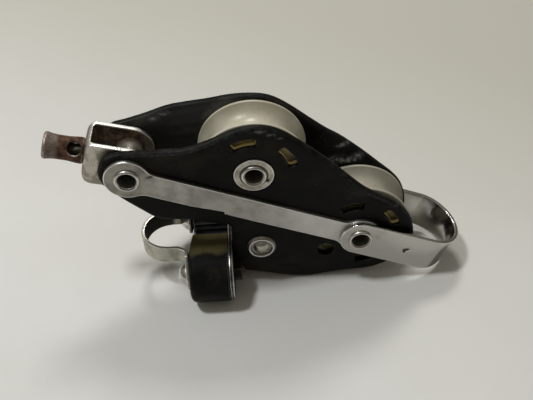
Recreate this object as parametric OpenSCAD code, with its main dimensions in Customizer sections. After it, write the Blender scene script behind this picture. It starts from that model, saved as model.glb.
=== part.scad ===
// Fiddle block with a cam cleat, a becket bow and a swivelling head post.
// It lies as it rests on a table: on the round backs of its two cams and on
// the lower edge of its two cheeks.  The origin is the middle of the head
// axle, Y runs along the axles and Z is up.  The load line, from the head
// axle to the tail axle, slopes down to the right by the lean.

/* [Layout] */
// Slope of the load line when the block rests, in degrees
lean = 23.4; // [20:0.1:27]
// Distance from the head axle to the head sheave's axle along the load line
head_sheave_x = 52.3; // [50:0.1:55]
// Height of the head sheave's axle above the load line
head_sheave_z = 19.0; // [17:0.1:20]
// Distance from the head axle to the tail sheave's axle
tail_sheave_x = 113.9; // [111:0.1:117]

/* [Sheaves] */
// Outer diameter of each sheave
sheave_d = 50; // [46:0.5:52]
// Width of each sheave
sheave_w = 17.8; // [15:0.1:19]
// Radius of the rope groove's floor, seen across the sheave
groove_r = 7.6; // [6:0.1:8]
// Depth of the rope groove below the rim
groove_depth = 5.6; // [3:0.1:7]
// Depth of the moulded recess in each side of a sheave
sheave_recess = 1.3; // [0.5:0.1:2.5]
// Outer diameter of the bush that a sheave turns on
sheave_bush_d = 14; // [12:0.1:17]

/* [Axles] */
// Outer diameter of the hollow axles
axle_d = 9.5; // [8:0.1:10.5]
// Inner diameter of the hollow axles
axle_bore_d = 7.9; // [5:0.1:8.4]
// Diameter of the flared ends of the axles
flare_d = 11.7; // [11:0.1:13]
// How far the flared ends stand above what they clamp
flare_h = 1.3; // [0.8:0.1:2]
// Diameter of the washers under the head sheave axle's ends
washer_d = 18.1; // [14:0.1:19]
// Thickness of these washers
washer_t = 1.4; // [0.8:0.1:2]

/* [Cheeks] */
// Thickness of a cheek
cheek_t = 4; // [3:0.1:5]
// Gap between a sheave and the cheek beside it
sheave_gap = 0.6; // [0.3:0.05:1.2]
// Rounding of a cheek's edges
cheek_edge_r = 1.5; // [0.8:0.1:1.8]
// Share of the drawn flare that the cheek's upper edge gets
cheek_flare = 1; // [0.3:0.05:1.1]
// How far the flare reaches down from the edge
flare_reach = 11; // [7:0.5:12]
// Inner radius of the curved slots
slot_r_in = 16; // [14:0.1:17]
// Outer radius of the curved slots
slot_r_out = 20; // [18:0.1:21]
// Diameter of the round hole below the tail axle
round_hole_d = 8; // [4:0.1:9]
// Depth of the recess round the head sheave's washers
washer_recess = 1; // [0.5:0.1:1.6]

/* [Straps and becket] */
// Width of the load straps
strap_w = 12.4; // [10:0.1:15]
// Thickness of the load straps
strap_t = 2; // [1.5:0.1:2.5]
// Diameter of the eyes at both ends of a load strap
strap_eye_d = 20.5; // [18:0.1:22]
// Width of the becket's arms
becket_w = 19.6; // [17:0.1:22]
// Thickness of the becket
becket_t = 2; // [1.5:0.1:2.5]
// Distance from the tail axle to where the becket's bow begins
becket_reach = 36; // [33:0.5:45]
// How far the becket's bow dips in at the middle of its width
bow_dip = 1.5; // [0.2:0.1:2.5]
// How far the bow's lower edge rises at its tip
bow_lift = 3.6; // [0:0.1:5]

/* [Head yoke and post] */
// Angle that the yoke hangs below the load line, in degrees
yoke_droop = 7; // [0:0.5:15]
// Thickness of the yoke's metal
yoke_t = 2.5; // [2:0.1:3]
// Height of the yoke's arms
yoke_h = 22; // [19:0.1:24]
// Distance from the head axle to the outer face of the yoke's end wall
yoke_reach = 20; // [18.5:0.1:24]
// Gap between the yoke's arms and the cheeks
yoke_gap = 0.5; // [0.3:0.05:0.9]
// Outer diameter of the bush between the yoke's arms
head_bush_d = 13; // [11:0.1:15]
// Diameter of the post where it meets the yoke
post_d = 12; // [11:0.1:13]
// Diameter of the post's waist
post_waist_d = 11; // [10.4:0.1:12]
// Diameter of the post's flared tip
post_tip_d = 12.3; // [11.5:0.1:13]
// Length of the post outside the yoke
post_l = 17.8; // [16:0.1:24]
// Diameter of the pin that runs through the post
core_d = 5.6; // [4:0.1:7]
// Diameter of the pin hole across the post
cross_hole_d = 6.2; // [4:0.1:6.4]
// Turn of the pin hole round the post, in degrees
cross_hole_turn = 43; // [0:1:90]

/* [Cam cleat] */
// Distance between the two cam screws
cam_spacing = 38; // [37:0.5:42]
// Radius of a cam's round back
cam_back_r = 14.1; // [12:0.1:14.5]
// Length of a cam along its screw
cam_l = 19.2; // [16:0.1:22]
// Depth of the teeth on a cam
tooth_depth = 0.9; // [0.4:0.1:1.2]
// Diameter of the bush inside a cam
cam_bush_d = 9; // [8:0.1:10]
// Diameter of the cam screws
cam_screw_d = 5; // [4:0.1:6]
// Diameter of the domed screw heads
screw_head_d = 11.6; // [10:0.1:12.5]
// Height of the domed screw heads
screw_head_h = 4.6; // [3:0.1:6]
// Thickness of the cleat's base plate
plate_t = 2; // [1.5:0.1:2.5]
// Width across the flats of the nuts behind the plate
nut_af = 8; // [7:0.1:9]
// Thickness of the nuts
nut_h = 4; // [3:0.1:5]

/* [Fairlead] */
// Width of the fairlead's strip
fairlead_w = 10; // [7:0.1:11]
// Thickness of the fairlead's strip
fairlead_t = 1.5; // [1:0.1:2]
// How far the fairlead's loop stands out from the cams
fairlead_reach = 23.4; // [19:0.1:27]
// Half width of the fairlead's loop
fairlead_r = 13.6; // [12:0.1:14]

/* [Clearances] */
// Radial clearance of a part that turns on another
run_fit = 0.05; // [0.02:0.01:0.1]
// Radial clearance of a fixed part in its hole
fixed_fit = 0.03; // [0.02:0.01:0.06]
// Gap at each end of a part that turns between two others
end_play = 0.1; // [0.05:0.05:0.3]

/* [Hidden] */
$fn = 72;

black_plastic = "#2b2c2b";
ivory = "#d8d2c0";
dull_steel = "#a19d92";
bright_steel = "#c6c8c8";
rusty = "#6b4a38";

// How far a cutter reaches past what it cuts
cut = 1;

// Height of the surface that the block rests on
floor_z = -74.5;

// Half widths across the block, from the middle outwards
cheek_in = sheave_w / 2 + sheave_gap;
cheek_out = cheek_in + cheek_t;
strap_out = cheek_out + strap_t;
becket_out = strap_out + becket_t;

axle_r = axle_d / 2;
axle_hole_r = axle_r + fixed_fit;
head_sheave_at = [head_sheave_x, 0, head_sheave_z];
tail_sheave_at = [tail_sheave_x, 0, 0];

// Lays a piece that is drawn along the load line into the resting pose
module rested() {
  rotate([0, lean, 0])
    children();
}

// Extrudes a flat outline (x, z) between two distances along Y
module plate_y(y0, y1) {
  translate([0, y1, 0])
    rotate([90, 0, 0])
      linear_extrude(height = y1 - y0)
        children();
}

// Extrudes a flat outline (y, z) between two distances along X
module plate_x(x0, x1) {
  translate([x0, 0, 0])
    rotate([90, 0, 90])
      linear_extrude(height = x1 - x0)
        children();
}

// Turned piece with its axis along Y, from a profile (radius, distance)
module turned_y() {
  rotate([-90, 0, 0])
    rotate_extrude()
      children();
}

// Round hole or rod along Y between two distances
module rod_y(r, y0, y1) {
  translate([0, y0, 0])
    rotate([-90, 0, 0])
      cylinder(r = r, h = y1 - y0);
}

// Round hole or rod along X between two distances
module rod_x(r, x0, x1) {
  translate([x0, 0, 0])
    rotate([0, 90, 0])
      cylinder(r = r, h = x1 - x0);
}

// Cheek outline

// A point of the resting pose, seen in the block's own frame
function from_rest(x, z) = [x * cos(lean) - z * sin(lean), x * sin(lean) + z * cos(lean)];

// The lobe's left edge stands against the cleat's base plate
plate_face_x = 43.1;
function lobe(away, height) = concat(from_rest(plate_face_x + away, height), [0]);

// Points of the cheek's edge: distance along the load line, height above
// it, and how far the edge flares away from the sheaves there
CHEEK_EDGE = [
  [-13.2, 0, 0], [-11.6, 7, 0], [-6, 11.4, 0.1], [2, 16.5, 1.9],
  [10, 21.8, 4.2], [18, 26.2, 5], [26, 31.8, 3.6], [34, 38.4, 1.6],
  [42, 43, 0.3], [50.5, 45.2, 0], [60, 43.8, 0], [72, 40, 0],
  [83, 36.2, 0.8], [91, 33.6, 2.4], [100, 30.3, 3.4], [108, 27.7, 2.8],
  [117, 24.9, 1.2], [125, 22.2, 0.2], [132, 18, 0], [138, 11, 0],
  [141.6, 3, 0], [141.4, -6, 0], [137.1, -14.1, 0], [130.4, -21, 0],
  [121.3, -25.8, 0], [112, -31, 0], [103.9, -36, 0], [95, -39, 0],
  [84, -40.7, 0], [76, -41.7, 0], lobe(5.2, -67.3), lobe(2.3, -66.6),
  lobe(0.6, -65.5), lobe(0, -63.6), lobe(0, -61), lobe(0, -54), lobe(0, -46),
  lobe(0, -39.6), lobe(0.1, -36.6), lobe(-1.2, -34.2), [49, -15.6, 0], [43.5, -15.8, 0],
  [34.1, -17.1, 0], [26, -19.6, 0], [18.8, -20.5, 0], [10.5, -17.7, 0],
  [0.2, -13.5, 0], [-7, -9.9, 0], [-11.4, -5.6, 0]];

edge_steps = 3;
edge_points = len(CHEEK_EDGE);

// Point of a smooth curve through four neighbours, for t from 0 to 1
function smooth(a, b, c, d, t) =
  b + t * 0.5 * (c - a)
  + t * t * (a - 2.5 * b + 2 * c - 0.5 * d)
  + t * t * t * (1.5 * (b - c) + 0.5 * (d - a));

// The whole edge as closely spaced points on that curve
EDGE = [for (i = [0 : edge_points - 1], s = [0 : edge_steps - 1])
  smooth(CHEEK_EDGE[(i + edge_points - 1) % edge_points], CHEEK_EDGE[i],
         CHEEK_EDGE[(i + 1) % edge_points], CHEEK_EDGE[(i + 2) % edge_points],
         s / edge_steps)];
edge_n = len(EDGE);

function edge_flare(i) = max(0, EDGE[i][2]) * cheek_flare;

// Direction along the edge at a point, and from it the way inwards
function edge_way(i) =
  let (a = EDGE[(i + edge_n - 1) % edge_n], b = EDGE[(i + 1) % edge_n],
       d = [b[0] - a[0], b[1] - a[1]])
  d / norm(d);
function edge_in(i) = let (d = edge_way(i)) [d[1], -d[0]];

// The band below the edge over which the flare fades out: it ends before
// the strap's eye, which lies flat on the cheek, and before the slots
band_min = 0.4;
flare_full = 2;
function room_to(i, x, z, r) = norm([EDGE[i][0] - x, EDGE[i][1] - z]) - r;
function fade_room(i) =
  min(room_to(i, 0, 0, strap_eye_d / 2),
      room_to(i, head_sheave_x, head_sheave_z, slot_r_out),
      room_to(i, tail_sheave_x, 0, slot_r_out)) - cheek_edge_r - 2 * band_min;
function fade_band(i) =
  band_min + max(0, min(flare_reach * min(1, edge_flare(i) / flare_full), fade_room(i)));

// Each ring of the cheek's skin: inset as a share of the edge rounding,
// share of the fading band, depth through the thickness from the inner
// face as a share of the rounding, and whether it counts from the outer face
round_in = 1 - cos(45);
RINGS = [
  [1, 1, 0, 0], [1, 0.55, 0, 0], [1, 0.2, 0, 0], [1, 0, 0, 0],
  [round_in, 0, round_in, 0], [0, 0, 1, 0],
  [0, 0, 1, 1], [round_in, 0, round_in, 1],
  [1, 0, 0, 1], [1, 0.2, 0, 1], [1, 0.55, 0, 1], [1, 1, 0, 1]];
ring_n = len(RINGS);

function ring_point(r, i) =
  let (ring = RINGS[r],
       inset = ring[0] * cheek_edge_r + ring[1] * fade_band(i),
       way = edge_in(i),
       fade = (1 - ring[1]) * (1 - ring[1]),
       lift = edge_flare(i) * fade,
       depth = ring[2] * cheek_edge_r,
       y = ring[3] == 0 ? cheek_in + depth : cheek_out - depth)
  [EDGE[i][0] + way[0] * inset, y + lift, EDGE[i][1] + way[1] * inset];

// The flat faces are laid from the innermost ring to a row of points along
// the load line, each edge point to the one nearest below or above it
spine_n = 26;
spine_x = 2;
spine_z = 0.7;
spine_past = 14;
spine_step = (tail_sheave_x + spine_past - spine_x) / spine_n;
function spine_at(i) =
  let (x = EDGE[i % edge_n][0])
  round(min(max((x - spine_x) / spine_step, 0), spine_n));
function spine_points(y) =
  [for (j = [0 : spine_n]) [spine_x + j * spine_step, y, spine_z]];

// Skin of the cheek as a closed surface, on the positive side of Y
module cheek_blank() {
  points = [for (r = [0 : ring_n - 1], i = [0 : edge_n - 1]) ring_point(r, i)];
  sides = [for (r = [0 : ring_n - 2], i = [0 : edge_n - 1])
    let (a = r * edge_n + i, b = r * edge_n + (i + 1) % edge_n)
    each [[a, b + edge_n, b], [a, a + edge_n, b + edge_n]]];
  inner_spine = ring_n * edge_n;
  outer_spine = inner_spine + spine_n + 1;
  outer_ring = (ring_n - 1) * edge_n;
  inner_face = [for (i = [0 : edge_n - 1])
    let (j = (i + 1) % edge_n, a = inner_spine + spine_at(i), b = inner_spine + spine_at(j))
    each a == b ? [[i, j, a]] : [[i, j, a], [j, b, a]]];
  outer_face = [for (i = [0 : edge_n - 1])
    let (j = (i + 1) % edge_n, a = outer_spine + spine_at(i), b = outer_spine + spine_at(j),
         p = outer_ring + i, q = outer_ring + j)
    each a == b ? [[q, p, a]] : [[q, p, a], [b, q, a]]];
  polyhedron(points = concat(points, spine_points(cheek_in), spine_points(cheek_out)),
             faces = concat(sides, inner_face, outer_face), convexity = 10);
}

// Curved slot about an axle, between two angles from the load line
module slot(from, to) {
  rotate([-90, 0, 0])
    rotate([0, 0, -to])
      rotate_extrude(angle = to - from)
        translate([slot_r_in, cheek_in - cut])
          square([slot_r_out - slot_r_in, cheek_t + 2 * cut]);
}

// Start and end of each slot about its axle, in degrees
HEAD_SLOTS = [[36, 71], [108, 143]];
TAIL_SLOTS = [[38, 71], [108, 143], [-71, -36]];

// The round hole lies between the slots' radii, below the tail axle
round_hole_at = 18.9;
round_hole_angle = -125;
rivet_at = [72, 0, -22.9];
rivet_r = 3;
washer_gap = 0.5;

// Hole through the positive cheek for something round
module cheek_hole(r) {
  rod_y(r, cheek_in - cut, cheek_out + cut);
}

// One cheek on the positive side of Y, with everything cut into it
module cheek() {
  difference() {
    cheek_blank();
    cheek_hole(axle_hole_r);
    translate(head_sheave_at) {
      cheek_hole(axle_hole_r);
      rod_y(washer_d / 2 + washer_gap, cheek_out - washer_recess, cheek_out + cut);
      for (ends = HEAD_SLOTS)
        slot(ends[0], ends[1]);
    }
    translate(tail_sheave_at) {
      cheek_hole(axle_hole_r);
      for (ends = TAIL_SLOTS)
        slot(ends[0], ends[1]);
      rotate([0, -round_hole_angle, 0])
        translate([round_hole_at, 0, 0])
          cheek_hole(round_hole_d / 2);
    }
    translate(rivet_at)
      cheek_hole(rivet_r + fixed_fit);
  }
}

module rear_cheek() {
  color(black_plastic)
    rested()
      cheek();
}

module front_cheek() {
  color(black_plastic)
    rested()
      mirror([0, 1, 0])
        cheek();
}

// Straps and becket

strap_eye_r = strap_eye_d / 2;
neck_r = 8;
neck_sink = 0.03;

// Hollow corner where the strap's bar runs into an eye.  Its curve sinks a
// little into both, so that it crosses them instead of only touching them.
module neck_fillet() {
  half_w = strap_w / 2;
  reach = strap_eye_r + neck_r;
  far_x = sqrt(reach * reach - pow(half_w + neck_r, 2));
  difference() {
    polygon([[0, 0], [far_x, 0], [far_x, half_w + neck_r]]);
    translate([far_x, half_w + neck_r])
      circle(r = neck_r + neck_sink);
  }
}

module eye_with_neck() {
  circle(r = strap_eye_r);
  neck_fillet();
  mirror([0, 1])
    neck_fillet();
}

module strap_outline() {
  difference() {
    union() {
      eye_with_neck();
      translate([tail_sheave_x, 0])
        mirror([1, 0])
          eye_with_neck();
      translate([0, -strap_w / 2])
        square([tail_sheave_x, strap_w]);
    }
    circle(r = axle_hole_r);
    translate([tail_sheave_x, 0])
      circle(r = axle_hole_r);
  }
}

module rear_strap() {
  color(dull_steel)
    rested()
      plate_y(cheek_out, strap_out)
        strap_outline();
}

module front_strap() {
  color(dull_steel)
    rested()
      plate_y(-strap_out, -cheek_out)
        strap_outline();
}

bow_x = tail_sheave_x + becket_reach;
bow_steps = 26;
BOW_ROWS = [-1, -0.72, -0.4, 0, 0.4, 0.72, 1];
bow_rows = len(BOW_ROWS);
bow_top_drop = 0.5;
bow_overlap = 1;

// How much of the bow's shaping there is at an angle from its middle
function bow_share(angle) = pow(cos(angle), 2);
function bow_z(angle, row) =
  let (low = -becket_w / 2 + bow_lift * bow_share(angle),
       high = becket_w / 2 - bow_top_drop * bow_share(angle))
  (low + high) / 2 + row * (high - low) / 2;
function bow_r(angle, row, skin) =
  becket_out - bow_dip * bow_share(angle) * (1 - row * row) - skin * becket_t;
function bow_point(angle, row, skin) =
  let (r = bow_r(angle, row, skin))
  [bow_x + r * cos(angle), r * sin(angle), bow_z(angle, row)];

// The bow is the strip carried round a half circle, dipped like a saddle
module bow() {
  loop = bow_rows * 2;
  points = [for (k = [-1 : bow_steps + 1])
    let (angle = -90 + 180 * min(max(k, 0), bow_steps) / bow_steps,
         back = k < 0 || k > bow_steps ? [bow_overlap, 0, 0] : [0, 0, 0])
    each concat(
      [for (row = BOW_ROWS) bow_point(angle, row, 0) - back],
      [for (j = [bow_rows - 1 : -1 : 0]) bow_point(angle, BOW_ROWS[j], 1) - back])];
  rings = bow_steps + 3;
  sides = [for (k = [0 : rings - 2], j = [0 : loop - 1])
    let (a = k * loop + j, b = k * loop + (j + 1) % loop)
    each [[a, b, b + loop], [a, b + loop, a + loop]]];
  last = (rings - 1) * loop;
  start = [for (j = [0 : bow_rows - 2]) [loop - 1 - j, loop - 2 - j, j + 1, j]];
  end = [for (j = [0 : bow_rows - 2])
    [last + j, last + j + 1, last + loop - 2 - j, last + loop - 1 - j]];
  polyhedron(points = points, faces = concat(sides, start, end), convexity = 6);
}

module becket_arm_outline() {
  difference() {
    union() {
      translate([tail_sheave_x, 0])
        circle(r = becket_w / 2);
      translate([tail_sheave_x, -becket_w / 2])
        square([becket_reach, becket_w]);
    }
    translate([tail_sheave_x, 0])
      circle(r = axle_hole_r);
  }
}

module becket() {
  color(bright_steel)
    rested() {
      plate_y(strap_out, becket_out)
        becket_arm_outline();
      plate_y(-becket_out, -strap_out)
        becket_arm_outline();
      bow();
    }
}

// Axles, bushes and washers

// Share of its height that a flared end's rounding takes of its width
flare_share = 0.7;

// Hollow axle with its two ends flared over what it clamps
module hollow_axle(clamp) {
  bore_r = axle_bore_d / 2;
  lip = flare_h;
  turned_y()
    difference() {
      union() {
        translate([0, -clamp])
          square([axle_r, 2 * clamp]);
        for (side = [-1, 1])
          translate([0, side * clamp])
            scale([1, side])
              flare_profile(flare_d / 2, lip);
      }
      translate([-cut, -clamp - lip - cut])
        square([bore_r + cut, 2 * (clamp + lip + cut)]);
      for (side = [-1, 1])
        translate([bore_r + lip, side * (clamp + lip)])
          difference() {
            translate([-lip - cut, -lip])
              square([lip + cut, 2 * lip]);
            scale([1, side])
              translate([0, -lip])
                circle(r = lip);
          }
    }
}

// Outer half of a flared end: flat below and rounded above
module flare_profile(r, h) {
  square([r - h * flare_share, h]);
  translate([r - h * flare_share, 0])
    intersection() {
      scale([flare_share, 1])
        circle(r = h);
      square([h, h]);
    }
}

module head_axle() {
  color(dull_steel)
    rested()
      hollow_axle(strap_out);
}

washer_in = cheek_out - washer_recess;
washer_out = washer_in + washer_t;

module head_sheave_axle() {
  color(dull_steel)
    rested()
      translate(head_sheave_at)
        hollow_axle(washer_out);
}

module tail_sheave_axle() {
  color(dull_steel)
    rested()
      translate(tail_sheave_at)
        hollow_axle(becket_out);
}

// Ring along Y between two distances
module ring_y(r_in, r_out, y0, y1) {
  turned_y()
    translate([r_in, y0])
      square([r_out - r_in, y1 - y0]);
}

module axle_washers() {
  color(dull_steel)
    rested()
      translate(head_sheave_at) {
        ring_y(axle_hole_r, washer_d / 2, washer_in, washer_out);
        ring_y(axle_hole_r, washer_d / 2, -washer_out, -washer_in);
      }
}

module sheave_bush() {
  ring_y(axle_hole_r, sheave_bush_d / 2, -cheek_in, cheek_in);
}

module head_sheave_bush() {
  color(dull_steel)
    rested()
      translate(head_sheave_at)
        sheave_bush();
}

module tail_sheave_bush() {
  color(dull_steel)
    rested()
      translate(tail_sheave_at)
        sheave_bush();
}

// Sheaves

sheave_r = sheave_d / 2;
sheave_hub_t = 3.4;
sheave_hub_r = sheave_bush_d / 2 + sheave_hub_t;
sheave_rim_t = 3.4;
sheave_edge_r = 0.7;

// Half section of a sheave: hub, web with moulded recesses, and rim
module sheave_section() {
  half_w = sheave_w / 2;
  bore_r = sheave_bush_d / 2 + run_fit;
  groove_at = sheave_r - groove_depth + groove_r;
  difference() {
    translate([bore_r, -half_w])
      square([sheave_r - bore_r, sheave_w]);
    translate([groove_at, 0])
      circle(r = groove_r);
    for (side = [-1, 1])
      scale([1, side])
        translate([sheave_hub_r, half_w - sheave_recess])
          square([sheave_r - sheave_rim_t - sheave_hub_r, sheave_recess + cut]);
    for (side = [-1, 1])
      scale([1, side])
        translate([sheave_r - sheave_edge_r, half_w - sheave_edge_r])
          difference() {
            square([sheave_edge_r + cut, sheave_edge_r + cut]);
            circle(r = sheave_edge_r);
          }
  }
}

module head_sheave() {
  color(ivory)
    rested()
      translate(head_sheave_at)
        turned_y()
          sheave_section();
}

module tail_sheave() {
  color(ivory)
    rested()
      translate(tail_sheave_at)
        turned_y()
          sheave_section();
}

// Head yoke, swivelling post and its pin

yoke_half = cheek_in - yoke_gap;
yoke_bend = 4;
yoke_corner = 4;
web_in = yoke_reach - yoke_t;

// Lays a piece that is drawn along the yoke into the resting pose; the
// yoke points along -X there
module yoked() {
  rotate([0, lean - yoke_droop, 0])
    children();
}

// Plan of the yoke from above: a U with rounded corners
module yoke_plan() {
  difference() {
    yoke_plan_solid(yoke_reach, yoke_half, yoke_bend);
    yoke_plan_solid(web_in, yoke_half - yoke_t, yoke_bend - yoke_t);
  }
}

module yoke_plan_solid(reach, half, bend) {
  translate([-reach + bend, -half])
    square([reach - bend + yoke_h, 2 * half]);
  translate([-reach, -half + bend])
    square([bend, 2 * (half - bend)]);
  for (side = [-1, 1])
    translate([-reach + bend, side * (half - bend)])
      circle(r = bend);
}

// Side outline of the yoke: round about the axle, corners eased at the wall
module yoke_side() {
  half_h = yoke_h / 2;
  circle(r = half_h);
  translate([-yoke_reach + yoke_corner, -half_h])
    square([yoke_reach - yoke_corner, yoke_h]);
  translate([-yoke_reach, -half_h + yoke_corner])
    square([yoke_corner, yoke_h - 2 * yoke_corner]);
  for (side = [-1, 1])
    translate([-yoke_reach + yoke_corner, side * (half_h - yoke_corner)])
      circle(r = yoke_corner);
}

module head_yoke() {
  color(dull_steel)
    yoked()
      difference() {
        intersection() {
          translate([0, 0, -yoke_h / 2 - cut])
            linear_extrude(height = yoke_h + 2 * cut)
              yoke_plan();
          plate_y(-yoke_half - cut, yoke_half + cut)
            yoke_side();
        }
        rod_y(axle_r + run_fit, -yoke_half - cut, yoke_half + cut);
        rod_x(core_r + run_fit, -yoke_reach - cut, -web_in + cut);
      }
}

head_bush_half = yoke_half - yoke_t - end_play;

module head_bush() {
  color(bright_steel)
    rested()
      ring_y(axle_hole_r, head_bush_d / 2, -head_bush_half, head_bush_half);
}

core_r = core_d / 2;
core_head_r = 5.2;
core_head_h = 3;
core_head_dome_r = 9;
post_start = yoke_reach + end_play;
post_end = post_start + post_l;

// Places along the post: from its start the collar's edge, the collar's end,
// the waist and the cross hole, and from its end the waist, the swell and
// the tip's rim
collar_edge = 0.4;
collar_l = 2.4;
waist_in = 6.5;
cross_hole_in = 4.1;
waist_out = 6;
swell_out = 3.6;
swell_r = 0.2;
tip_l = 1.6;
tip_edge = 0.9;
pin_recess = 0.4;

// Outline of the post along its length: waist, swelling tip, rounded edge
module post_profile() {
  collar_r = post_d / 2;
  waist_r = post_waist_d / 2;
  tip_r = post_tip_d / 2;
  polygon([
    [core_r + fixed_fit, post_start], [collar_r - collar_edge, post_start],
    [collar_r, post_start + collar_edge], [collar_r, post_start + collar_l],
    [waist_r, post_start + waist_in], [waist_r, post_end - waist_out],
    [waist_r + swell_r, post_end - swell_out], [tip_r, post_end - tip_l],
    [tip_r, post_end - tip_edge], [tip_r - tip_edge * round_in, post_end - tip_edge * round_in],
    [tip_r - tip_edge, post_end], [core_r + fixed_fit, post_end]]);
}

module swivel_post() {
  color(rusty)
    yoked()
      difference() {
        rotate([0, -90, 0])
          rotate_extrude()
            post_profile();
        translate([-post_start - cross_hole_in, 0, 0])
          rotate([-cross_hole_turn, 0, 0])
            translate([0, -post_tip_d, 0])
              rod_y(cross_hole_d / 2, 0, 2 * post_tip_d);
      }
}

// Pin through the yoke's wall and the post: domed head inside the yoke
module swivel_pin() {
  head_in = web_in - core_head_h - end_play;
  color(dull_steel)
    yoked()
      union() {
        rod_x(core_r, -post_end + pin_recess, -head_in - pin_recess);
        rotate([0, -90, 0])
          intersection() {
            translate([0, 0, head_in])
              cylinder(r = core_head_r, h = core_head_h);
            translate([0, 0, head_in + core_head_dome_r])
              sphere(r = core_head_dome_r);
          }
      }
}

// Cam cleat

pivot_y = cam_spacing / 2;
pivot_z = floor_z + cam_back_r;
plate_gap = 0.1;
plate_x0 = plate_face_x - plate_t - plate_gap;
plate_x1 = plate_x0 + plate_t;
cam_x1 = plate_x0 - end_play;
cam_x0 = cam_x1 - cam_l;
ear_x1 = cam_x0 - end_play;
ear_x0 = ear_x1 - fairlead_t;
cam_bush_r = cam_bush_d / 2;
screw_r = cam_screw_d / 2;
cam_edge_r = 3;

// The toothed face is a spiral about the screw: its radius grows from the
// lower side to the nose at the upper side
nose_angle = 44;
face_start = -62;
face_rise = 0.2;
face_bend = 0.85;
nose_r = 19.2;
tooth_n = 13;
flat_share = 0.72;

function face_r(t) =
  cam_back_r + face_rise + (nose_r - cam_back_r - face_rise) * pow(t, face_bend);
function face_angle(t) = face_start + (nose_angle - face_start) * t;
function face_point(t, dip) =
  [(face_r(t) - dip) * cos(face_angle(t)), (face_r(t) - dip) * sin(face_angle(t))];

FACE = [for (i = [0 : 2 * tooth_n])
  face_point(i / (2 * tooth_n), i % 2 == 1 ? tooth_depth : 0)];

// Outline of a cam seen along its screw, for the cam on the -Y side
module cam_outline() {
  circle(r = cam_back_r);
  polygon(concat([[0, 0]], FACE, [[cam_back_r * flat_share, cam_back_r], [0, cam_back_r]]));
}

// Envelope of a cam: both ends of its back are rounded over
module cam_envelope() {
  rotate([0, 90, 0])
    rotate_extrude()
      intersection() {
        cam_envelope_side();
        square([2 * cam_back_r, cam_l]);
      }
  translate([0, 2 * nose_r, 0])
    rotate([90, 0, 0])
      linear_extrude(height = 2 * nose_r)
        rotate([0, 0, -90])
          cam_envelope_side();
}

module cam_envelope_side() {
  for (side = [-1, 1])
    translate([side * (cam_back_r - cam_edge_r), cam_edge_r])
      circle(r = cam_edge_r);
  translate([-cam_back_r + cam_edge_r, 0])
    square([2 * (cam_back_r - cam_edge_r), cam_l]);
  translate([-cam_back_r, cam_edge_r])
    square([2 * cam_back_r, cam_l - cam_edge_r]);
}

spring_r = 6.6;
spring_wire_r = 0.6;
spring_turns = 3;
spring_pitch = 1.5;
spring_gap = 0.5;
spring_seat = 0.05;
spring_pocket_r = spring_r + spring_wire_r + spring_gap;
spring_pocket_l = spring_turns * spring_pitch + 2 * spring_wire_r + spring_gap;

// Slope at the outer end that leads a rope in between the cams, from a
// little inside the screw's middle
mouth_slope = 3.2;
mouth_y = 1;

// One cam about its own screw, from its outer end at x = 0
module cam_shape() {
  difference() {
    intersection() {
      plate_x(0, cam_l)
        cam_outline();
      cam_envelope();
    }
    translate([0, mouth_y, -2 * nose_r])
      linear_extrude(height = 4 * nose_r)
        polygon([[-cut, 0], [0, 0], [mouth_slope, nose_r], [-cut, nose_r]]);
    rod_x(cam_bush_r + run_fit, -cut, cam_l + cut);
    rod_x(spring_pocket_r, cam_l - spring_pocket_l, cam_l + cut);
  }
}

module near_cam() {
  color(black_plastic)
    translate([cam_x0, -pivot_y, pivot_z])
      cam_shape();
}

module far_cam() {
  color(black_plastic)
    translate([cam_x0, pivot_y, pivot_z])
      mirror([0, 1, 0])
        cam_shape();
}

// Puts a piece on both cam screws
module at_both_screws() {
  for (side = [-1, 1])
    translate([0, side * pivot_y, pivot_z])
      children();
}

module cam_bushes() {
  color(bright_steel)
    at_both_screws()
      difference() {
        rod_x(cam_bush_r, ear_x1, plate_x0);
        rod_x(screw_r + fixed_fit, ear_x1 - cut, plate_x0 + cut);
      }
}

// Wire of a coil spring as one tube, carried round the screw
module coil() {
  steps = 14;
  sides = 6;
  rings = spring_turns * steps;
  points = [for (k = [0 : rings], j = [0 : sides - 1])
    let (turn = 360 * k / steps, around = 360 * j / sides,
         r = spring_r + spring_wire_r * cos(around))
    [spring_pitch * k / steps + spring_wire_r * sin(around), r * cos(turn), r * sin(turn)]];
  walls = [for (k = [0 : rings - 1], j = [0 : sides - 1])
    let (a = k * sides + j, b = k * sides + (j + 1) % sides)
    each [[a, b, b + sides], [a, b + sides, a + sides]]];
  start = [for (j = [sides - 1 : -1 : 0]) j];
  end = [for (j = [0 : sides - 1]) rings * sides + j];
  polyhedron(points = points, faces = concat(walls, [start, end]), convexity = 6);
}

module cam_springs() {
  color(bright_steel)
    at_both_screws()
      translate([plate_x0 - spring_turns * spring_pitch - spring_wire_r - spring_seat, 0, 0])
        coil();
}

screw_tail = 1;

module screw() {
  head_r = screw_head_d / 2;
  dome_r = (head_r * head_r + screw_head_h * screw_head_h) / (2 * screw_head_h);
  rod_x(screw_r, ear_x0, plate_x1 + nut_h + screw_tail);
  intersection() {
    translate([ear_x0 - screw_head_h + dome_r, 0, 0])
      sphere(r = dome_r);
    rod_x(head_r, ear_x0 - screw_head_h, ear_x0);
  }
}

module cleat_screws() {
  color(bright_steel)
    at_both_screws()
      screw();
}

module cleat_nuts() {
  color(bright_steel)
    at_both_screws()
      difference() {
        plate_x(plate_x1, plate_x1 + nut_h)
          circle(d = nut_af / cos(30), $fn = 6);
        rod_x(screw_r + fixed_fit, plate_x1 - cut, plate_x1 + nut_h + cut);
      }
}

plate_r = 13.4;

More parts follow.
